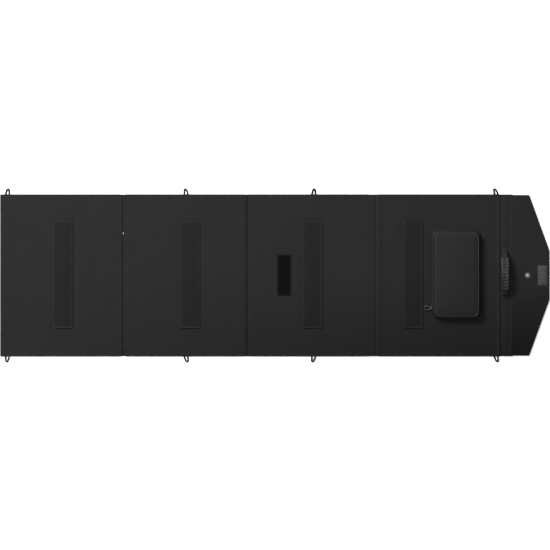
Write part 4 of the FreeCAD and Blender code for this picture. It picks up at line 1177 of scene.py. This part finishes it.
# ---- badge and label -----------------------------------------------------------------------
# A small plain sun badge and a plain grey label are heat-pressed on the flap. Neither carries
# any lettering.
badge_finish = rubber("badge_rubber", (0.2, 0.2, 0.2, 1), (0.3, 0.3, 0.3, 1))
badge_back = rubber("badge_ground", (0.012, 0.012, 0.012, 1), (0.02, 0.02, 0.02, 1))
low, high = badge_box
centre = (low + high) / 2
radius = (high.x - low.x) / 2
shape = bmesh.new()
bmesh.ops.create_circle(shape, cap_ends=True, segments=40, radius=radius,
                        matrix=Matrix.Translation((centre.x, centre.y, low.z)))
ringed(shape, [(0, (high.z - low.z) * 0.6), (0.3 * MM, (high.z - low.z) * 0.3)])
disc = new_piece("badge_disc", shape, badge_back, 50)
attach(disc, "flap")
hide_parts("sun_badge")
shape = bmesh.new()
bmesh.ops.create_circle(shape, cap_ends=True, segments=28, radius=radius * 0.36,
                        matrix=Matrix.Translation((centre.x, centre.y, high.z - 0.05 * MM)))
ringed(shape, [(0, 0.15 * MM), (0.3 * MM, 0.1 * MM)])
RAYS = 10
RAY_PLACE = 0.66
RAY_LENGTH = 0.36
RAY_WIDTH = 0.9 * MM
RAY_THICK = 0.2 * MM
for ray in range(RAYS):
    turn = Matrix.Rotation(ray * 2 * math.pi / RAYS, 4, "Z")
    hub = Matrix.Translation((centre.x, centre.y, high.z + 0.02 * MM))
    reach = Matrix.Translation((radius * RAY_PLACE, 0, 0))
    size = Matrix.Diagonal((radius * RAY_LENGTH, RAY_WIDTH, RAY_THICK, 1))
    bmesh.ops.create_cube(shape, size=1, matrix=hub @ turn @ reach @ size)
sun = new_piece("badge_sun", shape, badge_finish, 40)
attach(sun, "flap")
low, high = label_box
bar_finish = rubber("bar_print", (0.035, 0.035, 0.036, 1), (0.055, 0.055, 0.056, 1))
label_ground = rubber("label_ground", (0.012, 0.012, 0.013, 1), (0.018, 0.018, 0.019, 1))
shape = flat_face(oblong(low, high), low.z, 1.5 * MM)
ringed(shape, [(0, high.z - low.z - 0.05 * MM), (0.3 * MM, 0.05 * MM)])
label = new_piece("label_ground", shape, label_ground, 50)
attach(label, "flap")
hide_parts("rating_label")
shape = bmesh.new()
BAR_REACHES = (0.9, 0.7, 0.85, 0.6, 0.9, 0.75, 0.5)
BAR_MARGIN = 3 * MM
bar_pitch = (high.y - low.y - 2 * BAR_MARGIN) / len(BAR_REACHES)
for row, reach in enumerate(BAR_REACHES):
    y = high.y - BAR_MARGIN - (row + 0.5) * bar_pitch
    add_block(shape, (low.x + 2 * MM, y - 0.7 * MM, high.z - 0.02 * MM),
              (low.x + 2 * MM + (high.x - low.x - 4 * MM) * reach, y + 0.7 * MM, high.z + 0.1 * MM))
bars = new_piece("label_bars", shape, bar_finish, 40)
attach(bars, "flap")

# ---- stage ---------------------------------------------------------------------------------
# A pale seamless floor, an even white surround, one large soft light high on the left behind
# the blanket's top edge and a weaker one overhead.
FLOOR_SIZE = 14
VIEW_WIDTH = 1.4597
VIEW_CENTRE = (0.0008, 0.0007)
LENS = 200
SENSOR = 36
SURROUND_STRENGTH = 0.55
floor_finish, place = new_finish("seamless_floor")
floor_tone = place.noise(3, 1).between((0.9, 0.9, 0.9, 1), (0.92, 0.92, 0.92, 1))
close_finish(place, floor_tone, 0.7, place.noise(90, 2) * (0.02 * MM))
shape = bmesh.new()
bmesh.ops.create_grid(shape, x_segments=4, y_segments=4, size=FLOOR_SIZE / 2,
                      matrix=Matrix.Translation((0, 0, cad_box[0].z - 0.4 * MM)))
floor = new_piece("floor", shape, floor_finish)


def soft_light(name, place, size, power):
    """A square area light that faces the object's middle."""
    lamp = bpy.data.lights.new(name, "AREA")
    lamp.size = size
    lamp.energy = power
    carrier = bpy.data.objects.new(name, lamp)
    carrier.location = place
    carrier.rotation_euler = (-Vector(place)).to_track_quat("-Z", "Y").to_euler()
    bpy.context.scene.collection.objects.link(carrier)


soft_light("key", (-2.1, 2.4, 3.0), 1.5, 375)
soft_light("fill", (-0.4, 0.6, 4.0), 2.5, 60)
surround = bpy.data.worlds.new("surround")
surround.use_nodes = True
surround.node_tree.nodes["Background"].inputs["Color"].default_value = (1, 1, 1, 1)
surround.node_tree.nodes["Background"].inputs["Strength"].default_value = SURROUND_STRENGTH
bpy.context.scene.world = surround
bpy.context.scene.view_settings.view_transform = "Standard"

camera = bpy.data.objects.new("camera", bpy.data.cameras.new("camera"))
camera.data.sensor_width = SENSOR
camera.data.lens = LENS
camera.location = (*VIEW_CENTRE, VIEW_WIDTH * LENS / SENSOR)
camera.data.clip_end = 100
bpy.context.scene.collection.objects.link(camera)
bpy.context.scene.camera = camera
